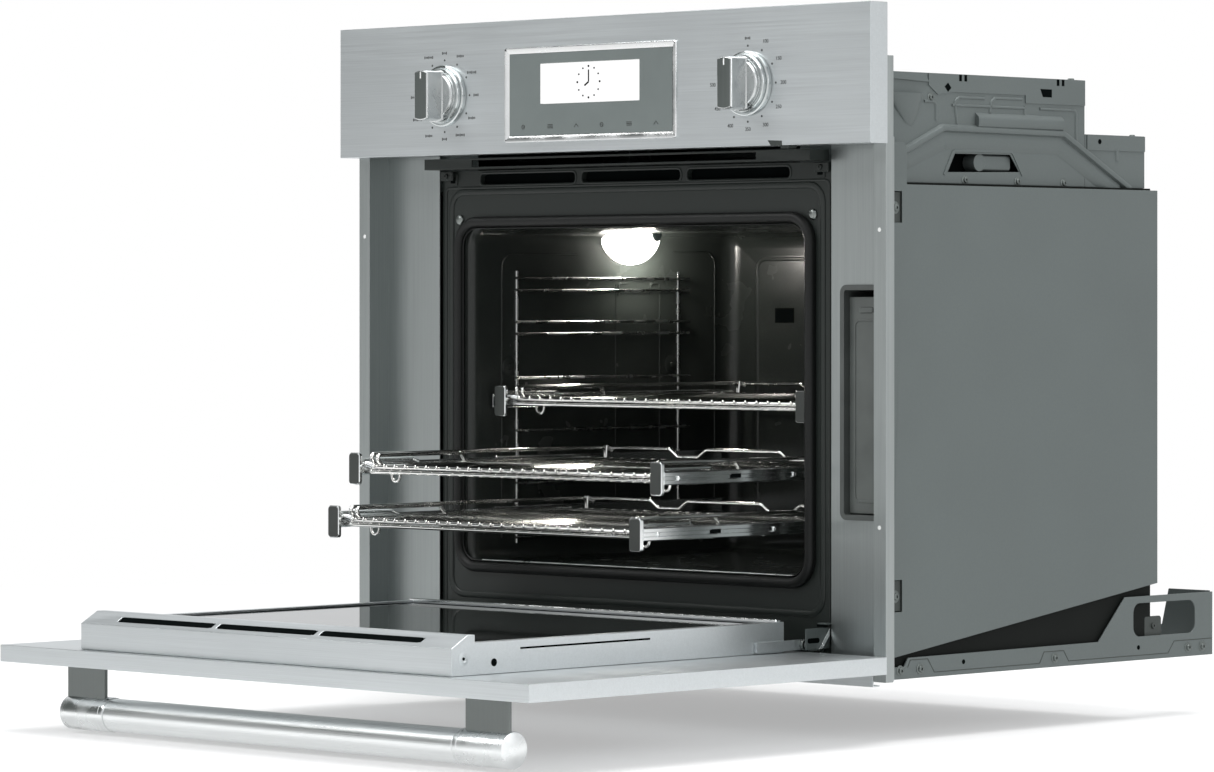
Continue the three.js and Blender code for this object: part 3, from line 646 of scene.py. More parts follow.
# ---- trims round the cavity frame ---------------------------------------------------------
def trims():
    """Screw holes in the side trims, and the folded ends of the bar under the panel."""
    # The side trims take the shaded copy of the stainless: painted shade.
    dress(trim_steel_shaded, 0.35, "side_trim_left", "side_trim_right")
    dress(steel_x, 0.4, "bottom_trim")
    dress(frame_enamel, 0.4, "air_outlet_bar")
    low = corners("side_trim_left")[0]
    holes = Shape()
    for z in (439, 150):
        holes.lathe([(2.1, 0.3), (2.1, -0.12)], (low.x + 8.5, low.y, z), "y", 16)
    emit_pair("trim_screw_holes", holes, pale_ink)

    # folded end piece and fixing screw under the ends of the panel
    low, high = corners("air_outlet_bar")
    ends = Shape()
    ends.pad((high.x - 17, low.z - 11), (high.x + 2, low.z - 1), "y", -12.5, -16, 1.5, 0.8)
    ends.screw((high.x - 8, -16, low.z - 6), "y", 2.8, -1)
    emit_pair("outlet_bar_brackets", ends, frame_enamel)


# ---- cavity frame and gasket --------------------------------------------------------------
SEAL_HALF = 5.75
END_SLOT_X = 262


def front_frame():
    """Pressed ridges, painted highlight beads on the lower edges, air slots with painted shade behind them,
    pins and the seal on the frame round the cavity.
    """
    dress(frame_enamel, 0.35, "cavity_frame")
    plate = corners("cavity_frame")[0].y + 1.4
    ridge = Shape()
    arch = [(3.4 * math.cos(a), 0.2 + 1.4 * math.sin(a)) for a in (math.pi * k / 6 for k in range(7))]
    section = [(3.4, -0.6)] + arch + [(-3.4, -0.6)]
    ridge.sweep(section, frame_path((-265, 60), (265, 485), "y", plate, 18), FRONT, closed=True)
    step = even((1.3, -0.6), (1.3, 0.5), (0.6, 1.0))
    ridge.sweep(step, frame_path((-273.5, 30), (273.5, 489.5), "y", plate, 6), FRONT, closed=True)
    emit("frame_ridges", ridge, frame_enamel, "oven")

    # Steel beads on the frame's bottom edge and the cavity mouth's lower edge: painted highlights on the
    # enamel bends.
    highlight_beads = Shape()
    highlight_beads.tube([(-262, plate - 1.2, 25.5), (262, plate - 1.2, 25.5)], 1.3, 10)
    highlight_beads.tube([(-222, -6.0, 96.2), (222, -6.0, 96.2)], 1.3, 10)
    emit("lower_edge_highlights", highlight_beads, highlight_bead_steel, "oven")
    skirt = Shape()
    skirt.box((-279, -7.4, 3), (279, -6.4, 52))
    emit("frame_lower_skirt", skirt, frame_enamel, "oven", edge=0.3)

    slots = Shape()
    for x0, x1 in ((-221.5, -79.5), (-71, 71), (79.5, 221.5)):
        rim = frame_path((x0, 492), (x1, 504.3), "y", plate, 5)
        slots.sweep([(1.6, -0.5), (1.5, 0.5), (0.6, 1.0), (-0.6, 0.6), (-1.0, -0.6), (-0.9, -9)],
                    rim, FRONT, closed=True)
    for x in (-END_SLOT_X, END_SLOT_X):
        slots.pad((x - 6, 492), (x + 6, 504), "y", plate + 0.2, plate - 1.2, 1.0, 0.5)
    emit("vent_slot_rims", slots, frame_enamel, "oven")
    # Black box behind the air slots and black pads in the end slots: painted shade in the openings.
    dark = Shape()
    dark.box((-228, -3.5, 490), (228, 14, 506))
    for x in (-END_SLOT_X, END_SLOT_X):
        dark.pad((x - 3.6, 494.5), (x + 3.6, 501.5), "y", plate, plate - 1.35, 0.6)
    emit("vent_dark", dark, black_part_and_hole_shade, "oven")

    pins = Shape()
    for x in (-252, 252):
        pins.lathe([(5.6, 0.4), (5.6, -0.8), (4.8, -2.2), (3.4, -2.9), (0, -3.1)], (x, plate, 455.7), "y", 24)
    emit("frame_pins", pins, screw_steel, "oven")

    low, high = corners("door_gasket")
    seal = Shape()
    path = frame_path((low.x + SEAL_HALF, low.z + SEAL_HALF), (high.x - SEAL_HALF, high.z - SEAL_HALF), "y",
                      high.y, 26, 8)
    dome = [(5.5 * math.cos(a), 3.2 + 5.4 * math.sin(a)) for a in (math.pi * k / 10 for k in range(11))]
    seal.sweep([(5.0, -0.2)] + dome + [(-5.0, -0.2)], path, FRONT, closed=True)
    lip = [(-4.2, 0.2), (-6.9, 1.4), (-7.4, 3.6), (-6.6, 4.2), (-5.9, 2.4), (-4.2, 1.6)]
    seal.sweep(lip, path, FRONT, closed=True)
    emit("door_seal", seal, gasket_rubber, "oven", ["door_gasket"])


# ---- cavity -------------------------------------------------------------------------------
LEVELS = ("top", "middle", "bottom")
CAVITY_HALF = 236.0
CAVITY_LOW, CAVITY_HIGH = 92.0, 445.0
CAVITY_BACK = 392.0
CAVITY_CORNER = 15.0
FAN_Z = 273
HEATER_RADIUS = 94
LADDER_X = 234.8
LADDER_POSTS = (57, 306)
LADDER_RUNGS = (394.4, 381.6, 347.6, 334.9, 288, 232, 176, 118)


def cavity_ring(inset, y, corner):
    """Section of the cavity at depth y, drawn in by inset."""
    low = (-CAVITY_HALF + inset, CAVITY_LOW + inset)
    high = (CAVITY_HALF - inset, CAVITY_HIGH - inset)
    return frame_path(low, high, "y", y, max(corner - inset, 1.0), 6)


def cavity():
    """Enamelled shell with its pressings, the fan baffle and what is behind it, and the lamp."""
    low, high = corners("cavity_liner")
    flange = ((low.x, low.z), (high.x, high.z), "y")
    mouth = low.y - 0.3
    bend = 17.0
    inner = [frame_path(*flange, mouth, 30, 6), cavity_ring(-9.0, mouth, CAVITY_CORNER + 9),
             cavity_ring(-5.5, -7.2, CAVITY_CORNER + 6), cavity_ring(-1.6, -3.5, CAVITY_CORNER + 3),
             cavity_ring(0, 4, CAVITY_CORNER), cavity_ring(0, CAVITY_BACK - bend, CAVITY_CORNER)]
    for k in range(1, 6):
        a = math.pi / 2 * k / 5
        inset, y = bend * (1 - math.cos(a)), CAVITY_BACK - bend + bend * math.sin(a)
        inner.append(cavity_ring(inset, y, CAVITY_CORNER))
    outer = [cavity_ring(-2, CAVITY_BACK + 2, CAVITY_CORNER), cavity_ring(-2, 2, CAVITY_CORNER),
             cavity_ring(-9.0, low.y + 1.2, CAVITY_CORNER + 9), frame_path(*flange, low.y + 1.2, 30, 6)]
    shell = Shape()
    inside, outside = shell.rows(inner), shell.rows(outer)
    shell.bands([*zip(inside, inside[1:]), *zip(outside, outside[1:]), (outside[-1], inside[0])])
    shell.face(inside[-1])
    shell.face(outside[0])
    emit("cavity_shell", shell, cavity_enamel, "oven", ["cavity_liner"])

    # pressed lines and locating tabs on both side walls
    press = Shape()
    wall = CAVITY_HALF
    for y in (209, 278):
        press.tube([(wall, y, 115), (wall, y, 388)], 0.9, 8)
    press.tube([(wall, 36, 118), (wall, 36, 420), (wall, 150, 420)], 1.0, 8, bend=14)
    press.tube([(wall, 300, 424), (wall, 366, 424), (wall, 366, 120)], 1.0, 8, bend=14)
    for y in (213, 262):
        press.tube([(wall - 1.2, y, 376), (wall - 1.2, y, 389), (wall - 1.2, y + 12, 389)], 1.1, 8, bend=3)
    for y in (48, 297):
        press.lathe([(11, 0.6), (11, -0.4), (9.5, -1.4), (0, -1.6)], (wall, y, 300), "x", 28)
        press.lathe([(4, 0.6), (3.6, -3.4), (0, -3.8)], (wall, y, 300), "x", 16)
    emit_pair("cavity_pressings", press, cavity_enamel)

    dress(cavity_enamel, 0.8, "fan_baffle")
    low, high = corners("fan_baffle")
    rim = Shape()
    section = even((2.6, -0.4), (1.6, 0.9), (0.6, 1.3))
    path = frame_path((low.x + 4, low.z + 4), (high.x - 4, high.z - 4), "y", low.y, 12)
    rim.sweep(section, path, FRONT, closed=True)
    for x in (low.x + 16, high.x - 16):
        rim.screw((x, low.y - 0.4, low.z + 16), "y", 4, -1)
    emit("baffle_rim", rim, cavity_enamel, "oven")
    # Black box in the baffle's slot: painted shade.
    slot = Shape()
    slot.box((-154, low.y - 0.35, 346), (-126, low.y + 1, 362))
    emit("baffle_slot", slot, black_part_and_hole_shade, "oven")
    dress(heater_steel, 0.3, "convection_fan")
    dress(casing_grey, 0.8, "convection_motor")
    heater = Shape()
    ring = [(HEATER_RADIUS * math.cos(a), 385, FAN_Z + HEATER_RADIUS * math.sin(a))
            for a in (2 * math.pi * k / 48 for k in range(48))]
    heater.tube(ring, 3.2, 10, closed=True)
    emit("heater_ring", heater, heater_steel, "oven", ["ring_heater"])

    low, high = corners("oven_lamp")
    lens = Shape()
    middle, reach = (low.y + high.y) / 2, 46.0
    dome = []
    for grow, out in ((1.0, -1.5), (1.0, 2.0), (0.93, 5.5), (0.8, 7.5)):
        arc = [(middle + reach * grow * math.cos(a), high.z + 2 + 34 * grow * math.sin(a))
               for a in (math.pi * (1 + k / 18) for k in range(19))]
        dome.append([(-CAVITY_HALF + out, u, v) for u, v in arc])
    lens.skin(dome)
    emit("lamp_lens", lens, lamp_light, "oven", ["oven_lamp"], edge=0.8)
    clip = Shape()
    clip.lathe([(7, -6), (7, 8), (5.5, 9.5), (0, 9.8)], (-CAVITY_HALF, high.y - 12, high.z + 1), "x", 24)
    emit("lamp_clip", clip, black_part_and_hole_shade, "oven")


def rack_supports():
    """Wire ladders, with the fixed channel of each runner hung on them."""
    for side, sign in SIDES:
        x = sign * LADDER_X
        ladder = Shape()
        for y in LADDER_POSTS:
            ladder.tube([(x, y, 112), (x, y, 402)], 2.0, 12)
        for z in LADDER_RUNGS:
            ladder.tube([(x - sign * 2.4, 54, z), (x - sign * 2.4, 322, z)], 1.5, 10)
        emit(f"rack_ladder_{side}", ladder, ladder_steel, "oven", [f"rack_support_{side}"])
        channels = Shape()
        for name in LEVELS:
            z = sum(c.z for c in corners(f"runner_{name}_{side}")) / 2
            inner, outer = sign * 227.2, sign * 232.2
            section = [(outer, z - 8), (inner, z - 8), (inner, z - 6.6), (outer - sign * 1.4, z - 6.6),
                       (outer - sign * 1.4, z + 6.6), (inner, z + 6.6), (inner, z + 8), (outer, z + 8)]
            channels.prism(section, "y", 18, 372)
        emit(f"runner_channels_{side}", channels, runner_steel, "oven", edge=0.25)


# ---- racks --------------------------------------------------------------------------------
RACK_HALF = 203.0
RACK_THICK = 2.1
RACK_THIN = 1.3
RACK_BARS = 26
RACK_RISE = 17.6  # top of the side wires above the middle of the grid
CLIP_WIRE = 1.5


def rack(name):
    """Wire grid with raised side wires, curled ends at the front corners and a guard along the back."""
    low, high = corners(f"rack_{name}")
    z = high.z - RACK_RISE
    front, back = low.y + RACK_THICK, high.y - RACK_THICK
    half = RACK_HALF
    grid = Shape()
    grid.tube([(-half + 3, front, z - 2.9), (half - 3, front, z - 2.9)], RACK_THICK, 12)
    grid.tube([(-half, back, z + 2), (-half, front, z + 2), (half, front, z + 2), (half, back, z + 2)],
              RACK_THICK, 12, bend=7)
    for y in (back - 8, front + 118, front + 236):
        grid.tube([(-half, y, z - 1.2), (half, y, z - 1.2)], RACK_THICK - 0.2, 10)
    pitch = (2 * half - 18) / (RACK_BARS - 1)
    for i in range(RACK_BARS):
        x = -half + 9 + pitch * i
        grid.tube([(x, front - RACK_THICK - 0.4, z + 3.6), (x, back - 8, z + 3.6)], RACK_THIN, 8)
        grid.lathe([(0.9, 0.3), (1.75, 0), (1.75, -1.2), (0.9, -1.8)],
                   (x, front - RACK_THICK, z + 3.4), "y", 10)
    for s in (-1, 1):
        x = s * half
        grid.tube([(x, back, z + 2), (x, back, z + 15), (x, front - 1, z + 15), (x, front + 7, z + 4),
                   (x, front + 17, z - 1)], RACK_THICK, 12, bend=7)
        inner = x - s * 7
        grid.tube([(inner, front + 132, z + 1), (inner, front + 122, z + 14), (inner, front + 1, z + 14),
                   (inner, front + 9, z + 3), (inner, front + 16, z)], RACK_THICK, 12, bend=7)
        for y in (front + 27, front + 308):
            hook = ((3, -1), (6, -13.4), (15, -13.4), (18, -1))
            grid.tube([(x - s * d, y, z + rise) for d, rise in hook], CLIP_WIRE, 10, bend=5)
    guard = [(-half, back, z + 15)]
    for x0 in (-80, 80):
        guard += [(x0 + x, back, z + rise) for x, rise in ((-27, 15), (-15, 7), (15, 7), (27, 15))]
    guard.append((half, back, z + 15))
    grid.tube(guard, RACK_THICK, 12, bend=8)
    # the corner where guard, side wire and grid are clipped together
    for s in (-1, 1):
        grid.tube([(s * (half - 6), back - 5, z), (s * (half - 6), back - 3, z + 17.2)], CLIP_WIRE, 8)
        grid.tube([(s * (half - 14), back - 2, z + 11), (s * (half - 1), back - 3, z + 16.4)], CLIP_WIRE, 8)
    emit(f"rack_wires_{name}", grid, wire_chrome, f"rack_{name}", [f"rack_{name}"])


def runner(name, side, sign):
    """Moving half of a telescopic runner: a rolled channel with a stop cap on its front end."""
    low, high = corners(f"runner_{name}_{side}")
    z = (low.z + high.z) / 2
    front = low.y
    inner, outer = sign * 214.8, sign * 224.6
    body = f"rack_{name}"
    channel = Shape()
    section = [(outer, z - 5), (outer - sign * 1.2, z - 6.2), (inner + sign * 2.4, z - 6.2),
               (inner, z - 4.6), (inner, z + 5.4), (inner + sign * 2.4, z + 7), (outer - sign * 1.2, z + 7),
               (outer, z + 5.8), (outer, z + 2.6), (outer - sign * 0.9, z + 1.9),
               (outer - sign * 0.9, z - 1.4), (outer, z - 2.1)]
    channel.prism(section, "y", front + 4, high.y)
    channel.paint = 1
    x0, x1 = sorted((outer, outer + sign * 0.12))
    channel.box((x0, front + 98, z - 1.2), (x1, front + 112, z + 3))
    channel.paint = 0
    for y in (front + 24, front + 190, front + 330):
        channel.screw((outer - sign * 1, y, z + 0.4), "x", 2.2, sign)
    channel.tube([(inner - sign * 2, front + 6, z + 9), (inner - sign * 2, front + 80, z + 9),
                  (inner - sign * 4, front + 88, z + 6)], 1.7, 8, bend=4)
    emit(f"runner_channel_{name}_{side}", channel, [runner_steel, black_part_and_hole_shade], body,
         [f"runner_{name}_{side}"], edge=0.35)
    cap = Shape()
    x0, x1 = sorted((sign * 207.2, sign * 223.4))
    cap.pad((x0, z - 16.4), (x1, z + 16.4), "y", front + 4.2, front + 0.5, 3.5, 0.8)
    cap.paint = 1
    cap.pad((x0 + 0.9, z - 15.5), (x1 - 0.9, z + 15.5), "y", front + 2, front, 3.0, 0.3)
    emit(f"runner_cap_{name}_{side}", cap, [runner_steel, cap_plastic], body)
    arm = Shape()
    arm.tube([(sign * 214, front + 3, z + 5), (sign * 212, front + 14, z + 5),
              (sign * 205, front + 18, z + 3)], 3.2, 12, bend=6)
    emit(f"runner_arm_{name}_{side}", arm, runner_steel, body)


def racks():
    """The supports, then each rack with its two runners."""
    rack_supports()
    for name in LEVELS:
        rack(name)
        for side, sign in SIDES:
            runner(name, side, sign)


# ---- water tank and steam parts -----------------------------------------------------------
def steam_parts():
    """Finishes of the tank, its bay, the generator and the pump, and mouldings on the tank's front."""
    dress(bay_plastic, 0.6, "tank_housing")
    dress(tank_plastic, 0.8, "water_tank")
    dress(casing_grey, 0.5, "steam_generator")
    dress(black_part_and_hole_shade, 0.5, "water_pump")
    low, high = corners("water_tank")
    pull = Shape()
    middle = (low.x + high.x) / 2
    path = frame_path((middle - 15, low.z + 12), (middle + 15, low.z + 190), "y", low.y, 6)
    pull.sweep(even((1.2, -0.4), (0.8, 0.7)), path, FRONT, closed=True)
    pull.pad((middle - 9, low.z + 197), (middle + 9, low.z + 203), "y", low.y + 0.3, low.y - 1.6, 2.5, 0.8)
    emit("tank_front_mouldings", pull, tank_plastic, "tank")


# ---- casing -------------------------------------------------------------------------------
LOUVRE_Z, LOUVRE_PITCH, LOUVRE_WIDTH = 250, 16, 66


def washer_screws(shape, face, points, rim, top, lift, seat, head, segments=24):
    """Screws on bevelled washers, at (y, z) points of a side face."""
    for y, z in points:
        shape.lathe([(rim, -0.5), (rim, lift / 2), (top, lift), (0, lift)], (face, y, z), "x", segments)
        shape.screw((face + seat, y, z), "x", head)


def casing():
    """Finishes of the sheet metal, pockets behind the front flange, and the screws in the sides."""
    dress(casing_grey, 0.3, "side_panel_left", "side_panel_right", "rear_panel")
    dress(casing_grey, 0.4, "upper_housing", "rear_box", "terminal_box", "base_rail_left",
          "base_rail_right", "base_cross_front", "base_cross_rear", "blower_housing")
    # The inner casing takes the near-black copy of the sheet: painted shade.
    dress(inner_shade_dark, 0.3, "inner_casing")
    dress(inner_grey, 0.3, "blower_wheel")

    # Dark grey plates set into the side panels: painted shade in the screw pockets.
    pocket = Shape()
    outer = corners("side_panel_right")[1].x
    for z in (461.5, 81.5):
        pocket.box((outer - 3.4, -11, z - 15), (outer - 2.0, 6.2, z + 15))
    emit_pair("screw_pockets", pocket, inner_grey, edge=0.3)
    heads = Shape()
    washer_screws(heads, outer - 2.1, ((-2.4, 461), (-2.5, 81)), 6.2, 5.2, 1.0, 0.8, 3.6, 28)
    washer_screws(heads, corners("base_rail_right")[1].x,
                  ((2.9, 8.3), (32.6, 8.8), (239.9, 9.1), (457.3, 9.3), (481.2, 9.2)),
                  5.4, 4.6, 0.7, 0.5, 3.4)
    washer_screws(heads, corners("upper_housing")[1].x,
                  ((112, 490.2), (193, 490), (266, 489.8), (60, 571)), 4.8, 4.2, 0.7, 0.5, 3.0)
    emit_pair("casing_screws", heads, casing_screw)

    housing_sides()
    rails()
    back_details()
    top_details()


def pressing(shape, points, x, width, height, bend):
    """A raised bead of sheet along (y, z) points on a side face."""
    path = rounded([(x, y, z) for y, z in points], bend)
    half = width / 2
    section = even((half, -0.5), (half, 0.1), (half * 0.55, height * 0.85), (half * 0.25, height))
    shape.sweep(section, path, (1, 0, 0))


def housing_sides():
    """Pressed ribs, cover flange, vent and air duct on the sides of the upper housing."""
    high = corners("upper_housing")[1]
    wall, top = high.x, high.z
    back = corners("rear_box")[1].y
    ribs = Shape()
    pressing(ribs, [(-3, 511), (24.7, 519), (77.3, 541), (263.7, 539.5), (370, 486)], wall, 9, 4.5, 10)
    pressing(ribs, [(-3, 504), (24, 510), (79, 530), (258, 528.5), (352, 482)], wall, 21, 2.0, 10)
    pressing(ribs, [(128, 549), (262, 549)], wall, 17, 5, 2)
    for points in ([(100, 544), (96, 567), (102, 572), (142, 572)],
                   [(150, 558), (152, 569), (158, 573), (200, 573)],
                   [(204, 566), (204, 545)], [(92, 564), (204, 564)], [(228, 564), (286, 564), (286, 512)],
                   [(50, 567), (68, 567), (68, 548)], [(68, 526), (68, 520)]):
        pressing(ribs, points, wall, 3.4, 1.3, 5)
    pressing(ribs, [(352, 526), (352, 514)], wall, 5, 1.6, 2)
    # the cover's flange along the top edge, stepped down towards the back
    flange = ((56, 0.2), (299.5, 0.2), (299.5, 26), (205, 26), (205, 18), (92, 18), (70, 21), (56, 12))
    ribs.prism([(y, top - drop) for y, drop in flange], "x", wall - 0.2, wall + 1.1)
    ribs.prism([(303, 539.6), (back - 0.4, 539.6), (back - 0.4, 524), (303, 524)],
               "x", wall - 0.2, wall + 1.1)
    ribs.prism([(-4.5, top - 0.3), (50, top - 0.3), (55, top - 9), (-4.5, top - 7)],
               "x", wall - 0.2, wall + 2.2)
    # vent surround
    vent = rounded([(wall, 80, 495), (wall, 94, 519), (wall, 185, 519.5), (wall, 201, 496)], 6)
    ribs.sweep(even((1.6, -0.4), (1.2, 0.8)), vent, (1, 0, 0))
    # pressed air horn behind the panel: broad at the top, running down to a rounded toe
    horn = []
    for t in range(9):
        k = t / 8
        middle, spread, rise = 20 + 10 * k, 25 * (1 - k) ** 0.8 + 3, 10.5 * (1 - k) ** 0.7 + 1.0
        arc = [(math.cos(b), max(0.0, math.sin(b))) for b in (math.pi * (i / 14) for i in range(15))]
        horn.append([(wall - 1.5 + rise * v, middle + spread * u, 574 - 33 * k) for u, v in arc])
    ribs.skin(horn)
    emit_pair("housing_pressings", ribs, casing_grey, edge=0.5)

    # Black faces in the housing's slots and holes, and a black sheet behind the vent: painted shade.
    marks = Shape()
    for y in (102, 110, 254, 262):
        marks.box((wall + 0.9, y, top - 7), (wall + 1.25, y + 4, top - 0.5))
    marks.prism([(80, top - 13), (85, top - 9), (90, top - 14), (85, top - 18)], "x", wall + 1, wall + 1.3)
    marks.lathe([(2.6, -0.2), (2.6, 1.35)], (wall, 323, 533), "x", 18)
    marks.prism([(228, top - 11), (246, top - 11), (246, top - 19), (232, top - 19)],
                "x", wall + 1, wall + 1.3)
    marks.box((wall - 20, 84, 494), (wall - 19, 200, 522))
    emit_pair("housing_openings", marks, black_part_and_hole_shade)
    motor = Shape()
    motor.tube([(wall - 18, 138, 508), (wall - 3, 138, 508)], 9, 20)
    motor.pad((134, 500), (188, 516), "x", wall - 18, wall - 4, 4, 1.5)
    emit_pair("vent_motor_ends", motor, casing_grey, edge=0.5)


def rails():
    """Pressed line, holes and inner parts seen on the base rails."""
    face = corners("base_rail_right")[1].x
    # A dark grey bead along the pressed line: painted shade in the crease.
    line = Shape()
    path = [(face, y, z) for y, z in (
        (14, 11), (18, 18.2), (44, 18.2), (54, 4.6), (216, 4.8), (223, 16), (254, 16), (262, 5), (424, 5),
        (434, 17), (498, 17))]
    line.sweep(even((0.5, -0.3), (0.35, 0.25)), path, (1, 0, 0))
    emit_pair("rail_pressed_lines", line, inner_grey)
    # Black discs in the holes: painted shade.
    holes = Shape()
    for y, z in ((98.2, 12.5), (375.1, 13.1)):
        holes.lathe([(2.4, -0.3), (2.4, 0.12)], (face, y, z), "x", 16)
    emit_pair("rail_holes", holes, black_part_and_hole_shade)
    feet = Shape()
    for y in (352, 404):
        feet.pad((y - 14, 20), (y + 14, 44), "x", face - 6, face - 4, 3, 0.6)
        feet.screw((face - 4, y, 34), "x", 3)
    emit_pair("rail_inner_tabs", feet, inner_grey)


def back_details():
    """Ribs, louvres and fixings on the back, round the fan motor and the terminal box."""
    plate = corners("rear_panel")[1].y
    ribs = Shape()
    half, height = 4.5, 2.0

    def bead(points, bend=10.0, closed=False):
        path = rounded([(x, plate, z) for x, z in points], bend, closed)
        section = even((half, -0.5), (half * 0.5, height))
        ribs.sweep(section, path, (0, 1, 0), closed)

    bead([(-320, 48), (320, 48), (320, 356), (236, 356), (236, 460), (-320, 460)], closed=True)
    bead([(-92, 181), (92, 181), (92, 365), (-92, 365)], bend=60, closed=True)
    for s in (-1, 1):
        bead([(s * 112, 110), (s * 290, 80)])
        bead([(s * 112, 150), (s * 290, 150)])
    emit("rear_beads", ribs, casing_grey, "oven")
    # The gaps between the louvres are black boxes: painted shade.
    louvres, gaps = Shape(), Shape()
    blade = ((-0.4, 0), (3.2, 1), (3.2, 2.2), (-0.4, 9))
    for z in range(LOUVRE_Z, LOUVRE_Z + 7 * LOUVRE_PITCH, LOUVRE_PITCH):
        for x in (-290, -210):
            louvres.prism([(plate + y, z + rise) for y, rise in blade], "x", x, x + LOUVRE_WIDTH)
            gaps.box((x + 1, plate - 0.3, z - 1.4), (x + LOUVRE_WIDTH - 1, plate + 0.4, z + 0.8))
    emit("rear_louvres", louvres, casing_grey, "oven", edge=0.4)
    emit("rear_louvre_gaps", gaps, black_part_and_hole_shade, "oven")
    fixings = Shape()
    for x in (-338, -120, 120, 338):
        for z in (32, 474):
            fixings.screw((x, plate, z), "y", 3.6)
    low, high = corners("terminal_box")
    for x in (low.x + 8, high.x - 8):
        for z in (low.z + 8, high.z - 8):
            fixings.screw((x, high.y, z), "y", 2.8)
    motor_y = corners("convection_motor")[0].y + 2
    for k in range(4):
        a = math.pi / 2 * (k + 0.5)
        fixings.screw((46 * math.cos(a), motor_y, FAN_Z + 46 * math.sin(a)), "y", 3.2)
    emit("rear_fixings", fixings, casing_screw, "oven")
    entry = Shape()
    entry.lathe([(13, 0.3), (13, -3.5), (11.5, -4), (10, -4), (9.5, 0.2)],
                ((low.x + high.x) / 2, (low.y + high.y) / 2, low.z), "z", 6)
    entry.pad((low.x + 22, low.z + 16), (high.x - 22, high.z - 16), "y", high.y - 0.3, high.y + 0.8, 4, 0.6)
    emit("terminal_entry", entry, inner_grey, "oven", edge=0.4)


def top_details():
    """Cover beads, louvres and screws on the top of the housings."""
    low, high = corners("upper_housing")
    ribs = Shape()
    section = even((5, -0.5), (3, 1.2))
    for x0, x1 in ((-320, -130), (-110, 110), (130, 320)):
        path = frame_path((x0, low.y + 30), (x1, high.y - 30), "z", high.z, 14)
        ribs.sweep(section, path, (0, 0, 1), closed=True)
    rear = corners("rear_box")[1]
    path = frame_path((-320, 318), (320, rear.y - 16), "z", rear.z, 10)
    ribs.sweep(section, path, (0, 0, 1), closed=True)
    emit("cover_beads", ribs, casing_grey, "oven")
    fixings = Shape()
    for x in (-335, 0, 335):
        for y in (low.y + 10, high.y - 10):
            fixings.screw((x, y, high.z), "z", 3.4)
        fixings.screw((x, rear.y - 8, rear.z), "z", 3.0)
    emit("cover_screws", fixings, casing_screw, "oven")
    # Black pads in the cover's slots: painted shade.
    slots = Shape()
    for x in range(-88, 89, 22):
        slots.pad((x - 3, 90), (x + 3, 210), "z", high.z - 0.4, high.z + 0.3, 2.8)
    emit("cover_slots", slots, black_part_and_hole_shade, "oven")


# ---- door ---------------------------------------------------------------------------------
STEM_LENGTH = 58


def door():
    """Air slots, side openings and glass edging of the door, then its handle and hinges."""
    dress(steel_x, 0.5, "door_panel")
    dress(steel_x, 0.6, "door_inner_frame")
    dress(door_glass, 0.5, "door_inner_glass", "door_outer_glass")
    wall = corners("door_inner_frame")[1].x

    # the three air slots lie on the sloping edge of the inner frame
    slope = Vector((0, -20.6, -11.6)).normalized()
    face = slope.cross(Vector((1, 0, 0)))
    # Black faces in the door's air slots: painted shade in the openings.
    dark = Shape()
    for x in (-147, 0, 147):
        ring = [Vector((x + u, -508.2, 56.2)) + slope * v
                for u, v in rounded_outline((-69, -4.2), (69, 4.2), 3.4)]
        dark.skin([[p + face * level for p in ring] for level in (-1.5, 0.25)])
    emit("door_vent_dark", dark, black_part_and_hole_shade, "door")

    side = Shape()
    side.lathe([(6.5, -0.4), (6.5, 0.15), (3.4, 0.5), (3.0, -0.2), (0, -0.2)], (wall, -502, 41), "x", 28)
    side.mirror()
    emit("door_side_dimples", side, steel_x, "door")
    # Black faces in the side openings: painted shade.
    holes = Shape()
    holes.lathe([(1.5, -0.3), (1.5, 0.35)], (wall, -502, 41), "x", 12)
    holes.lathe([(3.7, -0.3), (3.7, 0.14)], (wall, -463, 36), "x", 24)
    holes.prism([(-429, 46.6), (-255.5, 46.9), (-255.5, 48.8), (-429, 48.4)], "x", wall - 0.3, wall + 0.14)
    holes.mirror()
    emit("door_side_openings", holes, black_part_and_hole_shade, "door")

    # pressed strip that holds the glass along the hinge side
    strip = Shape()
    strip.pad((-262, -75.2), (262, -67.2), "z", 54.8, 57.6, 2, 0.8)
    emit("door_glass_strip", strip, chrome, "door")

    low, high = corners("door_inner_glass")
    border = Shape()
    path = frame_path((low.x + 6, low.y + 6), (high.x - 6, high.y - 6), "z", high.z, 6)
    border.sweep(even((5, -0.3), (5, 0.06)), path, (0, 0, 1), closed=True)
    emit("door_glass_border", border, black_part_and_hole_shade, "door")

    handle()
    hinge_parts()


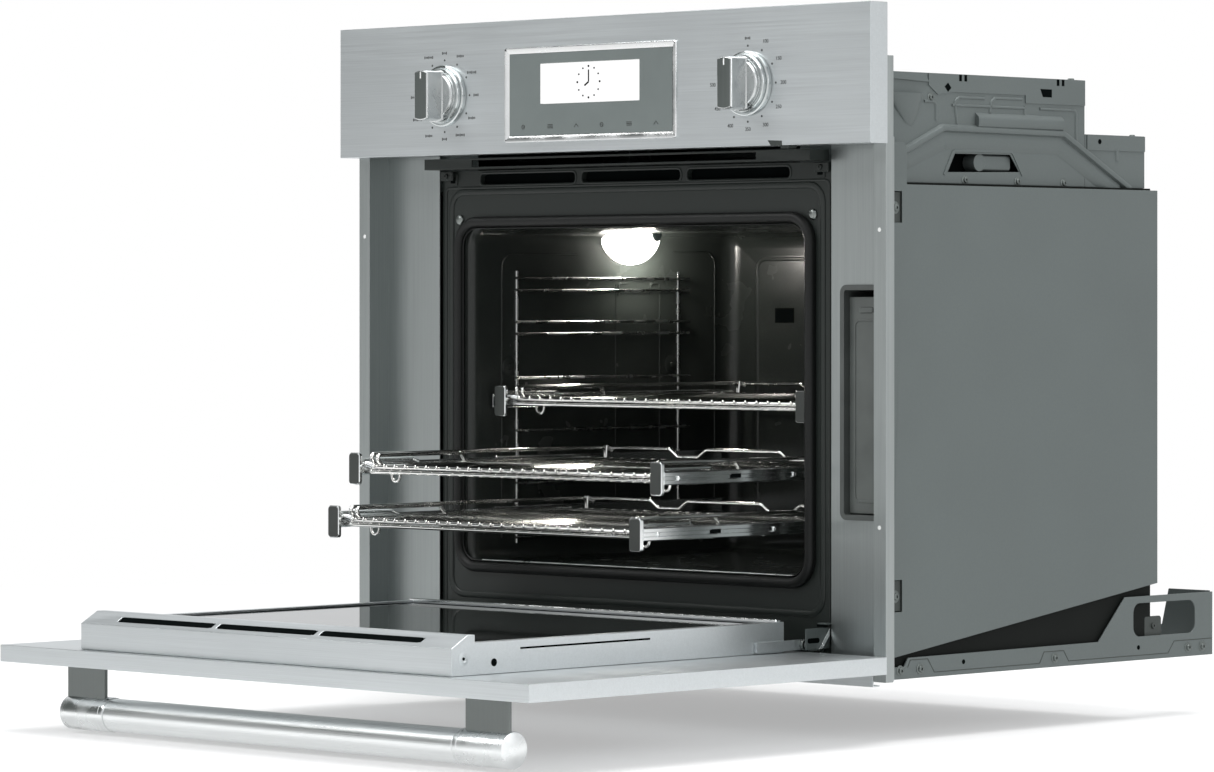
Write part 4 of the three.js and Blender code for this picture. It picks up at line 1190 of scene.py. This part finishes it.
def handle():
    """Round bar, with a grooved sleeve and a dark stem at each end."""
    low, high = corners("handle_bar")
    y, z = (low.y + high.y) / 2, (low.z + high.z) / 2
    radius = (high.z - low.z) / 2
    bar = Shape()
    bar.lathe([(radius - 1, low.x), (radius, low.x + 1), (radius, high.x - 1), (radius - 1, high.x)],
              (0, y, z), "x", 64)
    emit("handle_tube", bar, handle_steel_lit, "door", ["handle_bar"])
    for side, sign in SIDES:
        low, high = corners(f"handle_post_{side}")
        start, end = sorted((abs(low.x), abs(high.x)))
        sleeve = (high.y - low.y) / 2
        post = Shape()
        profile = [(1.6, start), (0.2, start + 0.5), (0, start + 1.4), (0, start + 5), (0.5, start + 5.6),
                   (0.5, start + 6.6), (0, start + 7.2), (0, end - 1.6), (0.5, end - 0.5), (1.8, end)]
        post.lathe([(sleeve - cut, sign * d) for cut, d in profile], (0, y, z), "x", 64)
        emit(f"handle_sleeve_{side}", post, sleeve_steel, "door", [f"handle_post_{side}"])
        stem = Shape()
        x0, x1 = sorted((sign * (end - STEM_LENGTH), sign * (end - 1)))
        stem.pad((x0, y - 7), (x1, y - 2), "z", z + 8, high.z, 1.2)
        emit(f"handle_stem_{side}", stem, stem_steel, "door", edge=0.5)


def hinge_parts():
    """Cover plates, openings and struts at the hinges."""
    dress(screw_steel, 0.3, "hinge_bracket_left", "hinge_bracket_right")
    dress(steel_x, 0.3, "hinge_leaf_left", "hinge_leaf_right")
    plate = Shape()
    plate.box((274.6, -46.8, 27.4), (276, -12, 48))
    plate.box((267, -20, 51), (279, -11.5, 52.4))
    emit_pair("hinge_plates", plate, casing_grey, edge=0.3)
    # Black faces in the plate openings: painted shade.
    gaps = Shape()
    gaps.pad((-44.5, 33.5), (-27, 38.5), "x", 276.15, 275.5, 2.4)
    gaps.box((267, -21, 48.6), (278.8, -19.8, 51))
    emit_pair("hinge_plate_openings", gaps, black_part_and_hole_shade)
    strut = Shape()
    strut.prism([(-30, 27.5), (-25, 27.5), (-12.5, 43), (-12.5, 48), (-14, 48)], "x", 276.2, 278.4)
    strut.screw((278.4, -25, 31.5), "x", 2.0)
    emit_pair("hinge_struts", strut, runner_steel, edge=0.3)


# ---- stage, light and camera --------------------------------------------------------------
BACKDROP = (1.0, 1.0, 1.0, 1)
FLOOR_LEVEL = -0.0615  # under the handle of the open door
FLOOR_RADIUS = 60
DARK_SIDE = (-0.80, -0.35, 0.50)  # where reflections find a dark room
LAMP_COLOUR = (1.0, 0.95, 0.88)


def aimed(location, target):
    """Rotation of a lamp that shines from location to target."""
    return (Vector(target) - Vector(location)).to_track_quat("-Z", "Y").to_euler()


def softbox(name, location, target, size, power):
    """A square area light."""
    light = bpy.data.lights.new(name, "AREA")
    light.size = size
    light.energy = power
    linked(name, light, location).rotation_euler = aimed(location, target)


def inner_light(name, kind, power, radius, inward, drop):
    """A light by the oven lamp, this far inward of the wall and this far below the lamp's top."""
    light = bpy.data.lights.new(name, kind)
    light.shadow_soft_size = radius
    light.energy = power
    light.color = LAMP_COLOUR
    low, high = corners("oven_lamp")
    return linked(name, light, Vector((-CAVITY_HALF + inward, (low.y + high.y) / 2, high.z - drop)) * MM)


def surroundings():
    """White for the camera; for reflections a pale room that is dark on one side."""
    world = bpy.data.worlds.new("studio")
    bpy.context.scene.world = world
    world.use_nodes = True
    tree = world.node_tree
    tree.nodes.clear()
    where = add_node(tree, "TexCoord", {}).outputs["Generated"]
    facing = add_node(tree, "VectorMath", {0: where, 1: Vector(DARK_SIDE).normalized()},
                      operation="DOT_PRODUCT")
    ramp = add_node(tree, "ValToRGB", {"Fac": facing.outputs["Value"]})
    pale, dark = ramp.color_ramp.elements
    pale.position, pale.color = 0.76, (0.80, 0.81, 0.82, 1)
    dark.position, dark.color = 0.93, (0.10, 0.11, 0.105, 1)
    around = add_node(tree, "Background", {"Color": ramp.outputs["Color"]})
    shown = add_node(tree, "Background", {"Color": BACKDROP})
    seen = add_node(tree, "LightPath", {}).outputs["Is Camera Ray"]
    pick = add_node(tree, "MixShader", {"Fac": seen, 1: around.outputs[0], 2: shown.outputs[0]})
    add_node(tree, "OutputWorld", {"Surface": pick.outputs[0]})


def paper_floor():
    """Wide pale floor that fades into the backdrop with distance."""
    bpy.ops.mesh.primitive_circle_add(vertices=96, radius=FLOOR_RADIUS, fill_type="NGON",
                                      location=(0, 0, FLOOR_LEVEL))
    floor = bpy.context.object
    floor.name = "studio_floor"
    paper = Finish("floor_paper")
    paper.colour(paper.noise(3.0, 2.0), (0.86, 0.86, 0.86), (0.88, 0.88, 0.88))
    paper.roughness(paper.noise(40.0, 2.0), 0.7, 0.85)
    reach = paper.add("VectorMath", {0: paper.where}, operation="LENGTH").outputs["Value"]
    glow = paper.add("Emission", {"Color": BACKDROP})
    blend = paper.add("MixShader", {"Fac": paper.between(reach, 0.4, 1.0, 0.6, 2.6),
                                    1: paper.shader.outputs[0], 2: glow.outputs[0]})
    end = next(n for n in paper.tree.nodes if n.type == "OUTPUT_MATERIAL")
    paper.tree.links.new(blend.outputs[0], end.inputs["Surface"])
    floor.data.materials.append(paper.material)


def studio():
    """Surroundings, floor, lights, and the photographed view."""
    surroundings()
    paper_floor()
    softbox("key", (-1.9, -2.6, 2.9), (0, 0, 0.4), 1.6, 58)
    softbox("top", (0.4, 0.2, 3.4), (0, 0, 0.3), 3.0, 150)
    softbox("right", (3.4, 0.6, 1.4), (0.2, 0, 0.3), 1.8, 26)
    inner_light("cavity_lamp", "POINT", 0.8, 0.012, 20, 16)
    # washes the wall round the lamp, and is not seen in the enamel
    wash = inner_light("wall_glow", "SPOT", 1.5, 0.02, 50, 18)
    wash.data.spot_size = math.radians(150)
    wash.data.spot_blend = 1.0
    wash.rotation_euler = aimed(wash.location, wash.location - Vector((1, 0, 0)))
    wash.visible_glossy = False

    camera = bpy.data.cameras.new("camera")
    camera.lens = 149.75
    camera.sensor_width = 36
    camera.shift_y = -0.0694
    view = linked("camera", camera, (3.6094, -3.7174, 0.3691))
    view.rotation_euler = (math.pi / 2, 0, math.radians(44.5))
    bpy.context.scene.camera = view
    bpy.context.scene.view_settings.view_transform = "Standard"


control_panel()
trims()
front_frame()
cavity()
racks()
steam_parts()
casing()
door()
studio()
